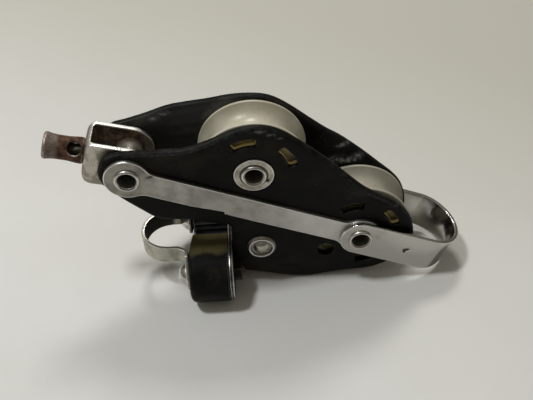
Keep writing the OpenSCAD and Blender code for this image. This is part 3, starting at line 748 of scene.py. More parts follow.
class GroupShelf:
    """Builds each shared node group once."""

    def __init__(self) -> None:
        """Build all the groups."""
        self.made = {
            Groups.PATCHES: self._patches(),
            Groups.RUBBED: self._rubbed(),
            Groups.GRAIN: self._grain(),
            Groups.SPECKS: self._specks(),
            Groups.CAKED: self._caked(),
        }

    @staticmethod
    def _start(
        which: Groups, outputs: list[str], **numbers: float
    ) -> tuple[Bench, bpy.types.NodeOutputs, bpy.types.Node]:
        """Make an empty group.

        Args:
            which: The group.
            outputs: Names of the masks or values that it puts out.
            numbers: Its inputs beside the vector, with their defaults.

        Returns:
            The group's bench, its inputs as sockets, and its output node.
        """
        tree = bpy.data.node_groups.new(which.value, "ShaderNodeTree")
        vector, number = "NodeSocketVector", "NodeSocketFloat"
        add = tree.interface.new_socket
        add(name="Vector", in_out="INPUT", socket_type=vector)
        for key, value in numbers.items():
            add(name=key, in_out="INPUT", socket_type=number).default_value = value
        for key in outputs:
            add(name=key, in_out="OUTPUT", socket_type=number)
        b = Bench(tree)
        return b, b.add("NodeGroupInput").outputs, b.add("NodeGroupOutput")

    def _patches(self) -> bpy.types.NodeTree:
        """Soft-edged blotches of one size.

        Returns:
            The group.
        """
        b, given, out = self._start(
            Groups.PATCHES, ["Mask"], Scale=100.0, Low=0.45, High=0.65
        )
        noise = b.noise(given["Vector"], given["Scale"], 6.0, 0.62)
        b.feed(out.inputs["Mask"], b.ramp(noise, given["Low"], given["High"]))
        return b.tree

    def _rubbed(self) -> bpy.types.NodeTree:
        """Outer edges rubbed bare, broken up by noise.

        Returns:
            The group.
        """
        b, given, out = self._start(
            Groups.RUBBED, ["Mask"], Scale=500.0, Low=0.25, High=0.6, Break=0.5
        )
        noise = b.noise(given["Vector"], given["Scale"], 5.0, 0.6)
        uneven = b.times(b.minus(noise, 0.5), given["Break"])
        worn = b.plus(b.value_of("wear"), uneven)
        b.feed(out.inputs["Mask"], b.ramp(worn, given["Low"], given["High"]))
        return b.tree

    def _grain(self) -> bpy.types.NodeTree:
        """Fine lines or grain: sharpened noise on a stretched vector.

        Returns:
            The group.
        """
        b, given, out = self._start(
            Groups.GRAIN, ["Height", "Lines"], Scale=1.0, Sharpness=2.0
        )
        noise = b.noise(given["Vector"], given["Scale"], 8.0, 0.7)
        away = b.math("ABSOLUTE", b.minus(noise, 0.5))
        thin = b.minus(1.0, b.times(away, 14.0))
        line = b.math("POWER", b.larger(thin, 0.0), given["Sharpness"])
        b.feed(out.inputs["Height"], noise)
        b.feed(out.inputs["Lines"], line)
        return b.tree

    def _specks(self) -> bpy.types.NodeTree:
        """Small round pits or specks with uneven spacing.

        Returns:
            The group.
        """
        b, given, out = self._start(Groups.SPECKS, ["Mask"], Scale=900.0, Size=0.25)
        vector, scale = given["Vector"], given["Scale"]
        cells = b.add("ShaderNodeTexVoronoi", Vector=vector, Scale=scale)
        chance = b.noise(vector, b.times(scale, 0.35), 2.0)
        size = b.times(given["Size"], b.ramp(chance, 0.45, 0.65))
        inside = b.minus(size, cells.outputs["Distance"])
        b.feed(out.inputs["Mask"], b.ramp(inside, 0.0, 0.06))
        return b.tree

    def _caked(self) -> bpy.types.NodeTree:
        """Dirt that stays in corners and where the mesh is marked as stained; some
        stain marks stand for painted shade.

        Returns:
            The group.
        """
        b, given, out = self._start(
            Groups.CAKED, ["Mask"], Scale=300.0, Corners=1.0, Stains=1.0
        )
        noise = b.noise(given["Vector"], given["Scale"], 6.0, 0.65)
        corner = b.times(b.value_of("crease"), given["Corners"])
        stain = b.times(b.value_of("stain"), given["Stains"])
        uneven = b.times(b.plus(corner, stain), b.plus(noise, 0.5))
        b.feed(out.inputs["Mask"], b.ramp(uneven, 0.1, 0.75))
        return b.tree


@dataclass(frozen=True)
class Finish:
    """What every finish shares.

    Attributes:
        name: Name of the material.
        turn: Turn about Y that lines the grain up with the piece.
        grain_scale: Scale of the grain along X, Y and Z of the turned piece.
        grain_depth: Height of the grain in metres.
    """

    name: str
    turn: float = 0.0
    grain_scale: Place = (1500.0, 1500.0, 1500.0)
    grain_depth: float = 0.00002


class Coat(Bench):
    """One material at work: its shader, its place vector and the shared effects."""

    def __init__(self, finish: Finish, shelf: GroupShelf) -> None:
        """Start the material.

        Args:
            finish: The finish that is made.
            shelf: The shared groups.
        """
        self.material = bpy.data.materials.new(finish.name)
        self.material.use_nodes = True
        super().__init__(self.material.node_tree)
        self.tree.nodes.clear()
        self.finish, self.shelf = finish, shelf
        self.shader = self.add("ShaderNodeBsdfPrincipled")
        self.add("ShaderNodeOutputMaterial", i0=self.shader.outputs[0])
        self.where = self.add("ShaderNodeTexCoord").outputs["Object"]

    def use(self, which: Groups, **inputs: object) -> bpy.types.NodeOutputs:
        """Put one shared group into the material with its own values.

        Args:
            which: The group.
            inputs: Its values, and its vector if that isn't the plain place.

        Returns:
            The group's outputs, by name.
        """
        inputs = {"Vector": self.where, **inputs}
        group = {"node_tree": self.shelf.made[which]}
        return self.add("ShaderNodeGroup", group, **inputs).outputs

    def patches(self, scale: float, low: float, high: float) -> bpy.types.NodeSocket:
        """A mask of blotches."""
        return self.use(Groups.PATCHES, Scale=scale, Low=low, High=high)["Mask"]

    def rubbed(
        self, scale: float, low: float, high: float, broken: float
    ) -> bpy.types.NodeSocket:
        """A mask of rubbed edges."""
        wear = {"Scale": scale, "Low": low, "High": high, "Break": broken}
        return self.use(Groups.RUBBED, **wear)["Mask"]

    def caked(
        self, scale: float, corners: float, stains: float
    ) -> bpy.types.NodeSocket:
        """A mask of caked dirt, and of painted shade where a stain mark stands for it.
        """
        dirt = {"Scale": scale, "Corners": corners, "Stains": stains}
        return self.use(Groups.CAKED, **dirt)["Mask"]

    def specks(self, scale: float, size: float) -> bpy.types.NodeSocket:
        """A mask of specks."""
        return self.use(Groups.SPECKS, Scale=scale, Size=size)["Mask"]

    def grain(
        self, sharpness: float
    ) -> tuple[bpy.types.NodeSocket, bpy.types.NodeSocket]:
        """Lay the grain along the piece.

        Args:
            sharpness: How thin its lines are.

        Returns:
            The grain's height, and a mask of its lines.
        """
        along = self.add(
            "ShaderNodeMapping",
            Vector=self.where,
            Rotation=(0.0, -self.finish.turn, 0.0),
            Scale=self.finish.grain_scale,
        ).outputs[0]
        made = self.use(Groups.GRAIN, Vector=along, Scale=1.0, Sharpness=sharpness)
        return made["Height"], made["Lines"]

    def finished(
        self, colour: object, rough: object, height: object, strength: float
    ) -> bpy.types.Material:
        """Feed the shader what all finishes have.

        Args:
            colour: The base colour.
            rough: The roughness.
            height: The fine relief.
            strength: How strongly the relief shows.

        Returns:
            The finished material.
        """
        self.feed(self.shader.inputs["Base Color"], colour)
        self.feed(self.shader.inputs["Roughness"], rough)
        relief = {"Strength": strength, "Distance": self.finish.grain_depth}
        bump = self.add("ShaderNodeBump", Height=height, **relief)
        self.feed(self.shader.inputs["Normal"], bump.outputs[0])
        return self.material


@dataclass(frozen=True)
class Steel(Finish):
    """Used stainless steel: bright and dull patches, fine lines, dirt, pits and a
    painted sheen.

    Attributes:
        bright: Colour of the bright patches.
        dull: Colour of the dull patches and of the lines.
        edge: Colour of rubbed edges, and of the painted sheen where a mesh has one.
        dirt: Colour of the dirt, and of painted shade where a stain mark stands for it.
        grime: Colour of its lighter clumps.
        polish: Roughness of the bright patches.
        haze: Roughness of the dull patches.
        edge_rough: Roughness of the rubbed edges.
        patch_scale: Fineness of the patches.
        patch_range: Values of the noise between which a patch turns dull.
        corner_dirt: How much dirt stays in corners.
        stain_dirt: How much shows where the mesh is stained.
        speck_scale: Fineness of the pits.
        speck_size: Size of the pits.
    """

    bright: Colour = (0.62, 0.60, 0.56)
    dull: Colour = (0.42, 0.40, 0.36)
    edge: Colour = (0.78, 0.77, 0.74)
    dirt: Colour = (0.07, 0.05, 0.03)
    grime: Colour = (0.07, 0.05, 0.03)
    polish: float = 0.22
    haze: float = 0.42
    edge_rough: float = 0.36
    patch_scale: float = 120.0
    patch_range: tuple[float, float] = (0.4, 0.62)
    corner_dirt: float = 1.2
    stain_dirt: float = 1.0
    speck_scale: float = 700.0
    speck_size: float = 0.2

    def material(self, shelf: GroupShelf) -> bpy.types.Material:
        """Build the material.

        Args:
            shelf: The shared groups.

        Returns:
            The material.
        """
        c = Coat(self, shelf)
        patch = c.patches(self.patch_scale, *self.patch_range)
        clumps = c.patches(330.0, 0.42, 0.62)
        height, lines = c.grain(2.0)
        rub = c.rubbed(450.0, 0.2, 0.55, 0.45)
        caked = c.caked(350.0, self.corner_dirt, self.stain_dirt)
        specks = c.specks(self.speck_scale, self.speck_size)
        dirty = c.larger(caked, c.times(specks, 0.8))
        colour = c.layered(
            c.blend(patch, self.bright, self.dull),
            (c.times(lines, 0.35), self.dull),
            # rubbed edges are worn bare; the painted_sheen value paints a highlight in
            # the same colour
            (c.larger(rub, c.value_of("painted_sheen")), self.edge),
            (dirty, c.blend(clumps, self.dirt, self.grime)),
        )
        rough = c.plus(c.between(patch, self.polish, self.haze), c.times(lines, 0.12))
        rough = c.between(dirty, c.between(rub, rough, self.edge_rough), 0.78)
        c.feed(c.shader.inputs["Metallic"], c.minus(1.0, c.times(dirty, 0.9)))
        height = c.minus(c.plus(height, c.times(dirty, 0.4)), c.times(lines, 0.3))
        return c.finished(colour, rough, height, 0.7)


@dataclass(frozen=True)
class Plastic(Finish):
    """Weathered black plastic: matt face, rubbed edges, scuffs, dust and painted light.

    Attributes:
        tint: Colour of the darker patches.
        faded: Colour of the paler patches.
        rubbed: Colour of rubbed edges.
        dust: Colour of the dust.
        scuff: Colour of scuffs and specks.
        painted_light: Colour of the painted light on the rear cheek's inner face.
        silt: Colour of the silt in the slots, made very bright so that it also paints
            the light falling into them.
        dark_patch_rough: Roughness of the darker patches.
        dull_rough: Roughness of the paler patches.
        shine: Strength of the reflections.
        rub_range: Wear between which an edge turns pale.
    """

    tint: Colour = (0.0032, 0.0030, 0.0026)
    faded: Colour = (0.0095, 0.0090, 0.0078)
    rubbed: Colour = (0.050, 0.052, 0.054)
    dust: Colour = (0.040, 0.033, 0.014)
    scuff: Colour = (0.36, 0.36, 0.35)
    painted_light: Colour = (0.055, 0.055, 0.050)
    silt: Colour = (0.97, 0.84, 0.42)
    dark_patch_rough: float = 0.42
    dull_rough: float = 0.62
    shine: float = 0.09
    rub_range: tuple[float, float] = (0.12, 0.5)

    def material(self, shelf: GroupShelf) -> bpy.types.Material:
        """Build the material.

        Args:
            shelf: The shared groups.

        Returns:
            The material.
        """
        c = Coat(self, shelf)
        patch = c.patches(90.0, 0.4, 0.7)
        film = c.patches(48.0, 0.48, 0.75)
        broken = c.patches(620.0, 0.40, 0.62)
        texture, _ = c.grain(3.0)
        rub = c.rubbed(350.0, *self.rub_range, 0.35)
        caked = c.caked(260.0, 0.6, 1.0)
        specks = c.specks(420.0, 0.11)
        scuffed = c.times(c.value_of("scuff"), c.between(broken, 0.08, 0.8))
        scuffed = c.times(scuffed, c.plus(texture, 0.4))
        painted_light_mask = c.times(c.value_of("painted_light"), c.plus(film, 0.5))
        colour = c.layered(
            c.blend(patch, self.tint, self.faded),
            (c.times(film, 0.32), self.dust),
            # painted light that lifts the rear cheek's inner face out of its shade
            (c.ramp(painted_light_mask, 0.0, 1.2), self.painted_light),
            (rub, self.rubbed),
            (c.times(caked, 0.8), self.dust),
            (scuffed, self.scuff),
            (c.ramp(c.value_of("silt"), 0.05, 0.4), self.silt),
            (c.times(specks, 0.25), self.scuff),
        )
        rough = c.between(patch, self.dark_patch_rough, self.dull_rough)
        c.shader.inputs["Specular IOR Level"].default_value = self.shine
        height = c.plus(texture, c.times(scuffed, 0.8))
        return c.finished(colour, c.between(caked, rough, 0.9), height, 0.6)


@dataclass(frozen=True)
class Ivory(Finish):
    """Semi-gloss off-white plastic of the sheaves, dirty on its sides.

    Attributes:
        clean: Colour of the clean patches.
        tired: Colour of the yellowed patches.
        dirt: Colour of the dirt and specks.
        silt: Colour of the silt on the sides, made very bright so that it also paints
            light.
        gloss: Roughness of the clean patches.
    """

    clean: Colour = (0.60, 0.575, 0.475)
    tired: Colour = (0.48, 0.45, 0.345)
    dirt: Colour = (0.22, 0.175, 0.055)
    silt: Colour = (0.92, 0.78, 0.34)
    gloss: float = 0.29

    def material(self, shelf: GroupShelf) -> bpy.types.Material:
        """Build the material.

        Args:
            shelf: The shared groups.

        Returns:
            The material.
        """
        c = Coat(self, shelf)
        patch = c.patches(70.0, 0.35, 0.7)
        height, lines = c.grain(2.5)
        caked = c.caked(220.0, 0.8, 1.1)
        specks = c.specks(380.0, 0.13)
        colour = c.layered(
            c.blend(patch, self.clean, self.tired),
            (c.times(lines, 0.25), self.dirt),
            (c.times(caked, 0.92), self.dirt),
            (c.times(specks, 0.7), self.dirt),
            (c.value_of("silt"), self.silt),
        )
        rough = c.between(patch, self.gloss, self.gloss + 0.12)
        return c.finished(colour, c.between(caked, rough, 0.8), height, 0.4)


@dataclass(frozen=True)
class Rust(Finish):
    """Rusty steel with bare bright edges and bands.

    Attributes:
        rust: Colour of the rust.
        dark: Colour of its darker patches.
        light: Colour of its fresh spots.
        bare: Colour of the bare steel.
        shine: Strength of the rust's reflections.
    """

    rust: Colour = (0.120, 0.060, 0.036)
    dark: Colour = (0.036, 0.020, 0.014)
    light: Colour = (0.24, 0.125, 0.070)
    bare: Colour = (0.50, 0.47, 0.43)
    shine: float = 0.15

    def material(self, shelf: GroupShelf) -> bpy.types.Material:
        """Build the material.

        Args:
            shelf: The shared groups.

        Returns:
            The material.
        """
        c = Coat(self, shelf)
        patch = c.patches(330.0, 0.38, 0.62)
        spots = c.patches(900.0, 0.52, 0.66)
        texture, _ = c.grain(2.0)
        rub = c.rubbed(500.0, 0.3, 0.62, 0.5)
        bared = c.times(c.value_of("bare"), c.ramp(texture, 0.3, 0.6))
        bright = c.larger(rub, bared)
        colour = c.layered(
            c.blend(patch, self.rust, self.dark),
            (c.times(spots, 0.6), self.light),
            (bright, self.bare),
        )
        c.shader.inputs["Specular IOR Level"].default_value = self.shine
        c.feed(c.shader.inputs["Metallic"], c.between(bright, 0.12, 1.0))
        height = c.plus(texture, c.times(patch, -0.8))
        return c.finished(colour, c.between(bright, 0.7, 0.3), height, 0.8)


@dataclass(frozen=True)
class Paper(Finish):
    """The pale floor: matt, with hardly any pattern, and painted shade far behind.

    Attributes:
        pale: Colour of most of it.
        warm: Colour of its faint patches.
        shaded: Colour of the painted shade far behind the block and to the right.
        shade_range: Distances in metres between which it turns to that.
    """

    pale: Colour = (0.775, 0.775, 0.755)
    warm: Colour = (0.745, 0.74, 0.715)
    shaded: Colour = (0.555, 0.545, 0.48)
    shade_range: tuple[float, float] = (-0.06, 0.33)

    def material(self, shelf: GroupShelf) -> bpy.types.Material:
        """Build the material.

        Args:
            shelf: The shared groups.

        Returns:
            The material.
        """
        c = Coat(self, shelf)
        patch = c.patches(14.0, 0.3, 0.75)
        texture, _ = c.grain(2.0)
        parts = c.add("ShaderNodeSeparateXYZ", i0=c.where).outputs
        back = c.plus(parts[1], c.times(parts[0], 0.6))
        colour = c.layered(
            c.blend(patch, self.pale, self.warm),
            (c.ramp(back, *self.shade_range), self.shaded),
        )
        c.shader.inputs["Specular IOR Level"].default_value = 0.2
        return c.finished(colour, 0.75, texture, 0.3)


class FinishRack:
    """All the finishes of the block, each made once."""

    def __init__(self) -> None:
        """Build the shared groups and then the materials."""
        shelf = GroupShelf()
        brushed = {"turn": LEAN, "grain_scale": (120.0, 2500.0, 2500.0)}
        self.cheek = Plastic("cheek_plastic").material(shelf)
        self.cam = Plastic(
            "cam_plastic",
            tint=(0.006, 0.006, 0.006),
            faded=(0.012, 0.012, 0.0115),
            rubbed=(0.055, 0.060, 0.070),
            # pale dust that also paints light on the near cam's shaded top
            dust=(0.115, 0.095, 0.042),
            shine=0.05,
            rub_range=(0.2, 0.6),
        ).material(shelf)
        self.sheave = Ivory("sheave_plastic").material(shelf)
        # A darker copy of the sheave plastic: painted shade on the tail sheave.
        self.tail_sheave = Ivory(
            "tail_sheave_painted_shade", clean=(0.44, 0.42, 0.35), tired=(0.35, 0.33, 0.26)
        ).material(shelf)
        self.strap = Steel(
            "strap_steel",
            **brushed,
            grain_depth=0.00001,
            bright=(0.30, 0.288, 0.252),
            dull=(0.21, 0.20, 0.172),
            polish=0.32,
            haze=0.48,
        ).material(shelf)
        self.lathe = Steel(
            "turned_steel",
            grain_scale=(150.0, 9000.0, 150.0),
            grain_depth=0.00003,
            bright=(0.30, 0.28, 0.24),
            dull=(0.20, 0.19, 0.16),
            edge=(0.30, 0.285, 0.25),
            edge_rough=0.07,
            dirt=(0.035, 0.022, 0.012),
            grime=(0.11, 0.075, 0.045),
            polish=0.07,
            haze=0.10,
        ).material(shelf)
        self.rivet = Steel(
            "rivet_steel",
            grain_depth=0.000006,
            bright=(0.50, 0.47, 0.40),
            dull=(0.36, 0.335, 0.28),
            edge=(0.55, 0.52, 0.45),
            dirt=(0.035, 0.022, 0.012),
            edge_rough=0.30,
            polish=0.28,
            haze=0.36,
        ).material(shelf)
        self.plate = Steel(
            "plate_steel",
            bright=(0.060, 0.055, 0.046),
            dull=(0.036, 0.031, 0.025),
            edge=(0.74, 0.72, 0.68),
            polish=0.30,
            haze=0.5,
        ).material(shelf)
        # A dim steel; on the lock nuts it stands for painted shade.
        self.dim = Steel(
            "dim_steel",
            bright=(0.05, 0.045, 0.04),
            dull=(0.03, 0.026, 0.022),
            edge=(0.09, 0.08, 0.07),
            polish=0.45,
            haze=0.6,
        ).material(shelf)
        self.becket = Steel(
            "becket_steel",
            **brushed,
            grain_depth=0.000004,
            bright=(0.50, 0.49, 0.455),
            dull=(0.38, 0.37, 0.335),
            polish=0.11,
            haze=0.24,
            edge_rough=0.16,
            patch_scale=90.0,
            patch_range=(0.5, 0.75),
            speck_size=0.12,
        ).material(shelf)
        # The axle's near-black dirt also paints the shade deep in the bores.
        self.axle = Steel(
            "axle_steel",
            grain_depth=0.00001,
            bright=(0.44, 0.42, 0.37),
            dull=(0.29, 0.27, 0.22),
            dirt=(0.006, 0.004, 0.003),
            grime=(0.030, 0.020, 0.012),
            polish=0.20,
            haze=0.4,
            corner_dirt=1.6,
        ).material(shelf)
        self.fitting = Steel(
            "fitting_steel",
            grain_depth=0.00001,
            bright=(0.66, 0.65, 0.62),
            dull=(0.46, 0.44, 0.40),
            polish=0.15,
            haze=0.34,
        ).material(shelf)
        # The yoke's edge colour also paints its sheen on faces that face up.
        self.yoke = Steel(
            "yoke_steel",
            turn=YOKE_TILT,
            grain_scale=(300.0, 1800.0, 1800.0),
            bright=(0.47, 0.44, 0.385),
            dull=(0.31, 0.28, 0.23),
            edge=(0.90, 0.88, 0.84),
            dirt=(0.060, 0.038, 0.022),
            grime=(0.22, 0.150, 0.095),
            polish=0.26,
            haze=0.5,
            patch_scale=190.0,
            patch_range=(0.36, 0.58),
            corner_dirt=2.0,
            speck_scale=900.0,
            speck_size=0.3,
        ).material(shelf)
        # The fairlead's dark dirt colours also paint the shade inside its loop.
        self.fairlead = Steel(
            "fairlead_steel",
            bright=(0.50, 0.48, 0.42),
            dull=(0.38, 0.36, 0.29),
            dirt=(0.022, 0.020, 0.015),
            grime=(0.040, 0.036, 0.026),
            polish=0.36,
            haze=0.55,
            corner_dirt=1.0,
        ).material(shelf)
        self.rusty = Rust("rusty_steel", turn=YOKE_TILT).material(shelf)
        plain = (700.0, 700.0, 700.0)
        self.paper = Paper("floor_paper", grain_scale=plain).material(shelf)


# The block's own pieces


@dataclass
class Part:
    """One sub-assembly of the block.

    Attributes:
        finishes: The finishes that its pieces wear.
    """

    finishes: FinishRack


@dataclass
class Cheeks(Part):
    """The two black side plates with their flared upper edges.

    Attributes:
        voxel: Fineness of their meshes.
        face: Distance of the outer faces from the middle.
        rivet: Middle of the rivet, round which both are stained.
        slot_centres: The sheave axles along the load line.
        slot_in: A little less than the slots' inner radius.
        slot_out: A little more than their outer radius.
        washed_slots: Middles of the slots with less silt.
        washed_share: Share of silt that each of them keeps.
        washed_reach: How far such a slot reaches from its middle.
        round_hole: Middle of the round hole, which has no silt.
        hole_reach: How far it reaches from there.
        silt_depth: Distances from the middle between which the silt ends.
        moss: Stains of the front cheek alone.
        near_marks: Dents and scuffs of the front cheek.
        far_marks: Dents and scuffs of the rear cheek.
    """

    voxel: float = 0.55
    face: float = 13.5
    rivet: tuple[float, float] = (57.0, -49.6)
    slot_centres: tuple[tuple[float, float], ...] = ((52.3, 19.0), (113.9, 0.0))
    slot_in: float = 15.6
    slot_out: float = 20.4
    washed_slots: tuple[tuple[float, float], ...] = ((103.7, 14.1), (122.0, -16.0))
    washed_share: tuple[float, ...] = (0.14, 0.0)
    washed_reach: float = 9.0
    round_hole: tuple[float, float] = (103.06, -15.48)
    hole_reach: float = 5.0
    silt_depth: tuple[float, float] = (10.4, 12.5)
    moss: tuple[Mark, ...] = (
        Mark((-9.6, -13.0, 11.6), (2.4, 2.6, 2.2), 0.0, 1.0),
        Mark((-12.2, -13.0, 8.0), (2.0, 2.6, 2.6), 0.0, 0.9),
        Mark((49.8, -13.5, -36.3), (13.0, 3.0, 7.0), 0.0, 0.30),
        Mark((69.0, -13.5, -62.0), (9.0, 3.0, 3.5), 0.0, 0.40),
    )
    near_marks: tuple[Mark, ...] = (
        Mark((58.4, -12.8, 20.6), (3.6, 2.2, 0.9), 0.08, 0.8),
        Mark((64.3, -12.8, 18.6), (2.8, 2.2, 0.8), 0.08, 0.9),
        Mark((67.6, -12.8, 16.6), (1.2, 2.0, 0.6), 0.06, 0.9),
        Mark((26.4, -13.5, -58.2), (1.2, 1.0, 1.2), 0.06, 0.5),
        Mark((120.0, -12.5, -28.0), (2.4, 2.0, 1.0), 0.08, 0.5),
    )
    far_marks: tuple[Mark, ...] = (
        Mark((100.3, 11.3, -14.9), (4.4, 3.0, 2.4), 0.6, 0.0),
        Mark((98.7, 12.2, -10.2), (5.0, 2.4, 1.2), 0.10, 1.3),
        Mark((94.9, 9.9, -16.8), (4.6, 2.0, 1.8), 0.08, 1.4),
        Mark((91.2, 9.6, -18.0), (3.8, 2.0, 2.6), 0.06, 1.1),
        Mark((101.4, 10.6, -18.8), (5.6, 2.4, 1.3), 0.08, 1.3),
        Mark((106.5, 12.0, -17.4), (3.0, 2.4, 1.8), 0.05, 0.7),
        Mark((12.2, 12.0, 12.3), (2.4, 2.0, 0.9), 0.08, 0.9),
        Mark((16.6, 12.8, 14.0), (2.6, 2.0, 0.9), 0.08, 1.0),
        Mark((70.0, 9.5, 12.0), (3.0, 1.5, 1.6), 0.05, 0.4),
    )

    def build(self) -> None:
        """Build both cheeks."""
        self._cheek("front_cheek", "near_side_cheek", self.near_marks, -1)
        self._cheek("rear_cheek", "far_side_cheek", self.far_marks, 1)

    def _cheek(self, node: str, name: str, marks: Sequence[Mark], side: int) -> None:
        """Build one cheek with its dents, scuffs and stains.

        Args:
            node: Its CAD node.
            name: Name of the new piece.
            marks: Its dents and scuffs.
            side: -1 for the front cheek, 1 for the rear one.
        """
        obj = worn_copy(node, name, self.voxel, 3)
        press_marks(obj.data, marks)
        shade_marks(obj.data, "scuff", marks)
        x, z = self.rivet
        stain = Mark((x, side * self.face, z), (9.5, 3.0, 9.5), strength=0.5)
        drip = Mark((75.0, side * self.face, -57.0), (9.0, 3.0, 5.0), strength=0.25)
        shade_marks(obj.data, "stain", [stain, drip, *(self.moss if side < 0 else ())])
        # Silt on the slot walls, bright enough to paint the light falling into the
        # slots too.
        write_values(obj.data, "silt", self._slot_walls(obj.data))
        # The rear cheek's inner face is lightened with painted light.
        if side > 0:
            write_values(obj.data, "painted_light", self._inner_painted_light(obj.data))
        place(obj, "block", self.finishes.cheek, node)

    def _slot_walls(self, mesh: bpy.types.Mesh) -> np.ndarray:
        """Find the walls of the curved slots, where silt has settled; its bright colour
        also paints light.

        They lie between the slots' radii about either sheave's axle, face
        across the axle, and end short of the outer face.

        Args:
            mesh: The cheek's mesh.

        Returns:
            The share of silt at each point.
        """
        points, normals = laid_flat(read_points(mesh)), read_normals(mesh)
        across = 1 - smooth_step(np.abs(normals[:, 1]), 0.35, 0.75)
        deep = 1 - smooth_step(np.abs(points[:, 1]), *self.silt_depth)
        silt = np.zeros(len(points))
        for centre in self.slot_centres:
            r = off_axle(points, centre)
            silt = np.maximum(silt, (r > self.slot_in) & (r < self.slot_out))
        for centre, share in zip(self.washed_slots, self.washed_share):
            washed = off_axle(points, centre) < self.washed_reach
            silt = silt * np.where(washed, share, 1.0)
        clear = off_axle(points, self.round_hole) > self.hole_reach
        return across * deep * silt * clear

    @staticmethod
    def _inner_painted_light(mesh: bpy.types.Mesh) -> np.ndarray:
        """Find where the inner face gets painted light, most towards the head.

        Args:
            mesh: The rear cheek's mesh.

        Returns:
            The share of bloom at each point.
        """
        points, normals = read_points(mesh), read_normals(mesh)
        inner = smooth_step(-normals[:, 1], 0.2, 0.7)
        return inner * (1.0 - 0.75 * smooth_step(points[:, 0], 30.0, 90.0))


@dataclass
class LoadStraps(Part):
    """The flat steel straps with an eye at each end, outside the cheeks.

    Attributes:
        reach: Distance between the middles of the two eyes.
        eye_r: Radius of the eyes.
        half_w: Half width of the bar.
        neck_r: Radius of the hollow corner between bar and eye.
        hole_r: Radius of the axle holes.
        inner: Distance of the inner face from the middle.
        outer: Distance of the outer face from the middle.
        ease: Rounding of the edges.
        nick_from: Where the lower edge starts to be shaved, along the load line.
        nick_to: Where the shaving ends.
        nick_depth: Depth at its end.
        notch_depth: Depth of the small notch beyond it.
    """

    reach: float = 113.9
    eye_r: float = 10.25
    half_w: float = 6.2
    neck_r: float = 8.0
    hole_r: float = 4.8
    inner: float = 13.52
    outer: float = 15.5
    ease: float = 0.35
    nick_from: float = 31.0
    nick_to: float = 46.6
    nick_depth: float = 1.3
    notch_depth: float = 0.35

    def outline(self) -> np.ndarray:
        """Outline of a strap.

        Two arcs of the eyes joined by four hollow arcs and two straight
        lines.  The lower line rises evenly to the nick's depth between its
        start and its end, and falls back at once.  A narrow bell follows as
        the notch.

        Returns:
            Rows of x and z along the load line.
        """
        side = self.half_w + self.neck_r
        far = math.sqrt((self.eye_r + self.neck_r) ** 2 - side**2)
        lean = math.degrees(math.atan2(side, far))
        right = self.reach - far
        x = np.linspace(far, right, 260)
        grow = np.clip((x - self.nick_from) / (self.nick_to - self.nick_from), 0, 1)
        left = 1 - smooth_step(x, self.nick_to, self.nick_to + 0.9)
        notch = self.notch_depth * np.exp(-(((x - self.nick_to - 2.0) / 0.5) ** 2))
        low = -self.half_w + (self.nick_depth * grow * left + notch)
        rows = [
            arc((self.reach, 0), self.eye_r, lean - 180, 180 - lean, 90),
            arc((right, side), self.neck_r, -lean, -90, 16)[1:-1],
            np.stack([x[::-1], np.full_like(x, self.half_w)], axis=1),
            arc((far, side), self.neck_r, 270, 180 + lean, 16)[1:-1],
            arc((0, 0), self.eye_r, lean, 360 - lean, 90),
            arc((far, -side), self.neck_r, 180 - lean, 90, 16)[1:-1],
            np.stack([x, low], axis=1),
            arc((right, -side), self.neck_r, 90, lean, 16)[1:-1],
        ]
        return np.concatenate(rows)

    def build(self) -> None:
        """Build both straps, each with a rust spot and a painted sheen that lightens
        the bar towards the tail.
        """
        holes = [arc((x, 0), self.hole_r, 0, 360, 73)[:-1] for x in (0.0, self.reach)]
        plate = eased_plate([self.outline(), *holes], self.inner, self.outer, self.ease)
        for node, name, side in (
            ("front_strap", "near_side_strap", -1),
            ("rear_strap", "far_side_strap", 1),
        ):
            points = leaned(plate.points * np.array([1.0, side, 1.0]))
            obj = new_piece(name, Surface(points, plate.faces))
            rust = Mark((10.5, side * self.outer, 0.5), (1.5, 1.0, 1.6), strength=2.2)
            shade_marks(obj.data, "stain", [rust])
            # Painted sheen: lighter along the bar, most towards the tail, less again at
            # the tail's eye.
            x = laid_flat(read_points(obj.data))[:, 0]
            painted_sheen = 0.2 * smooth_step(x, 6, 15) + 0.5 * smooth_step(x, 58, 92)
            write_values(obj.data, "painted_sheen", painted_sheen - 0.25 * smooth_step(x, 96, 106))
            place(obj, "block", self.finishes.strap, node)


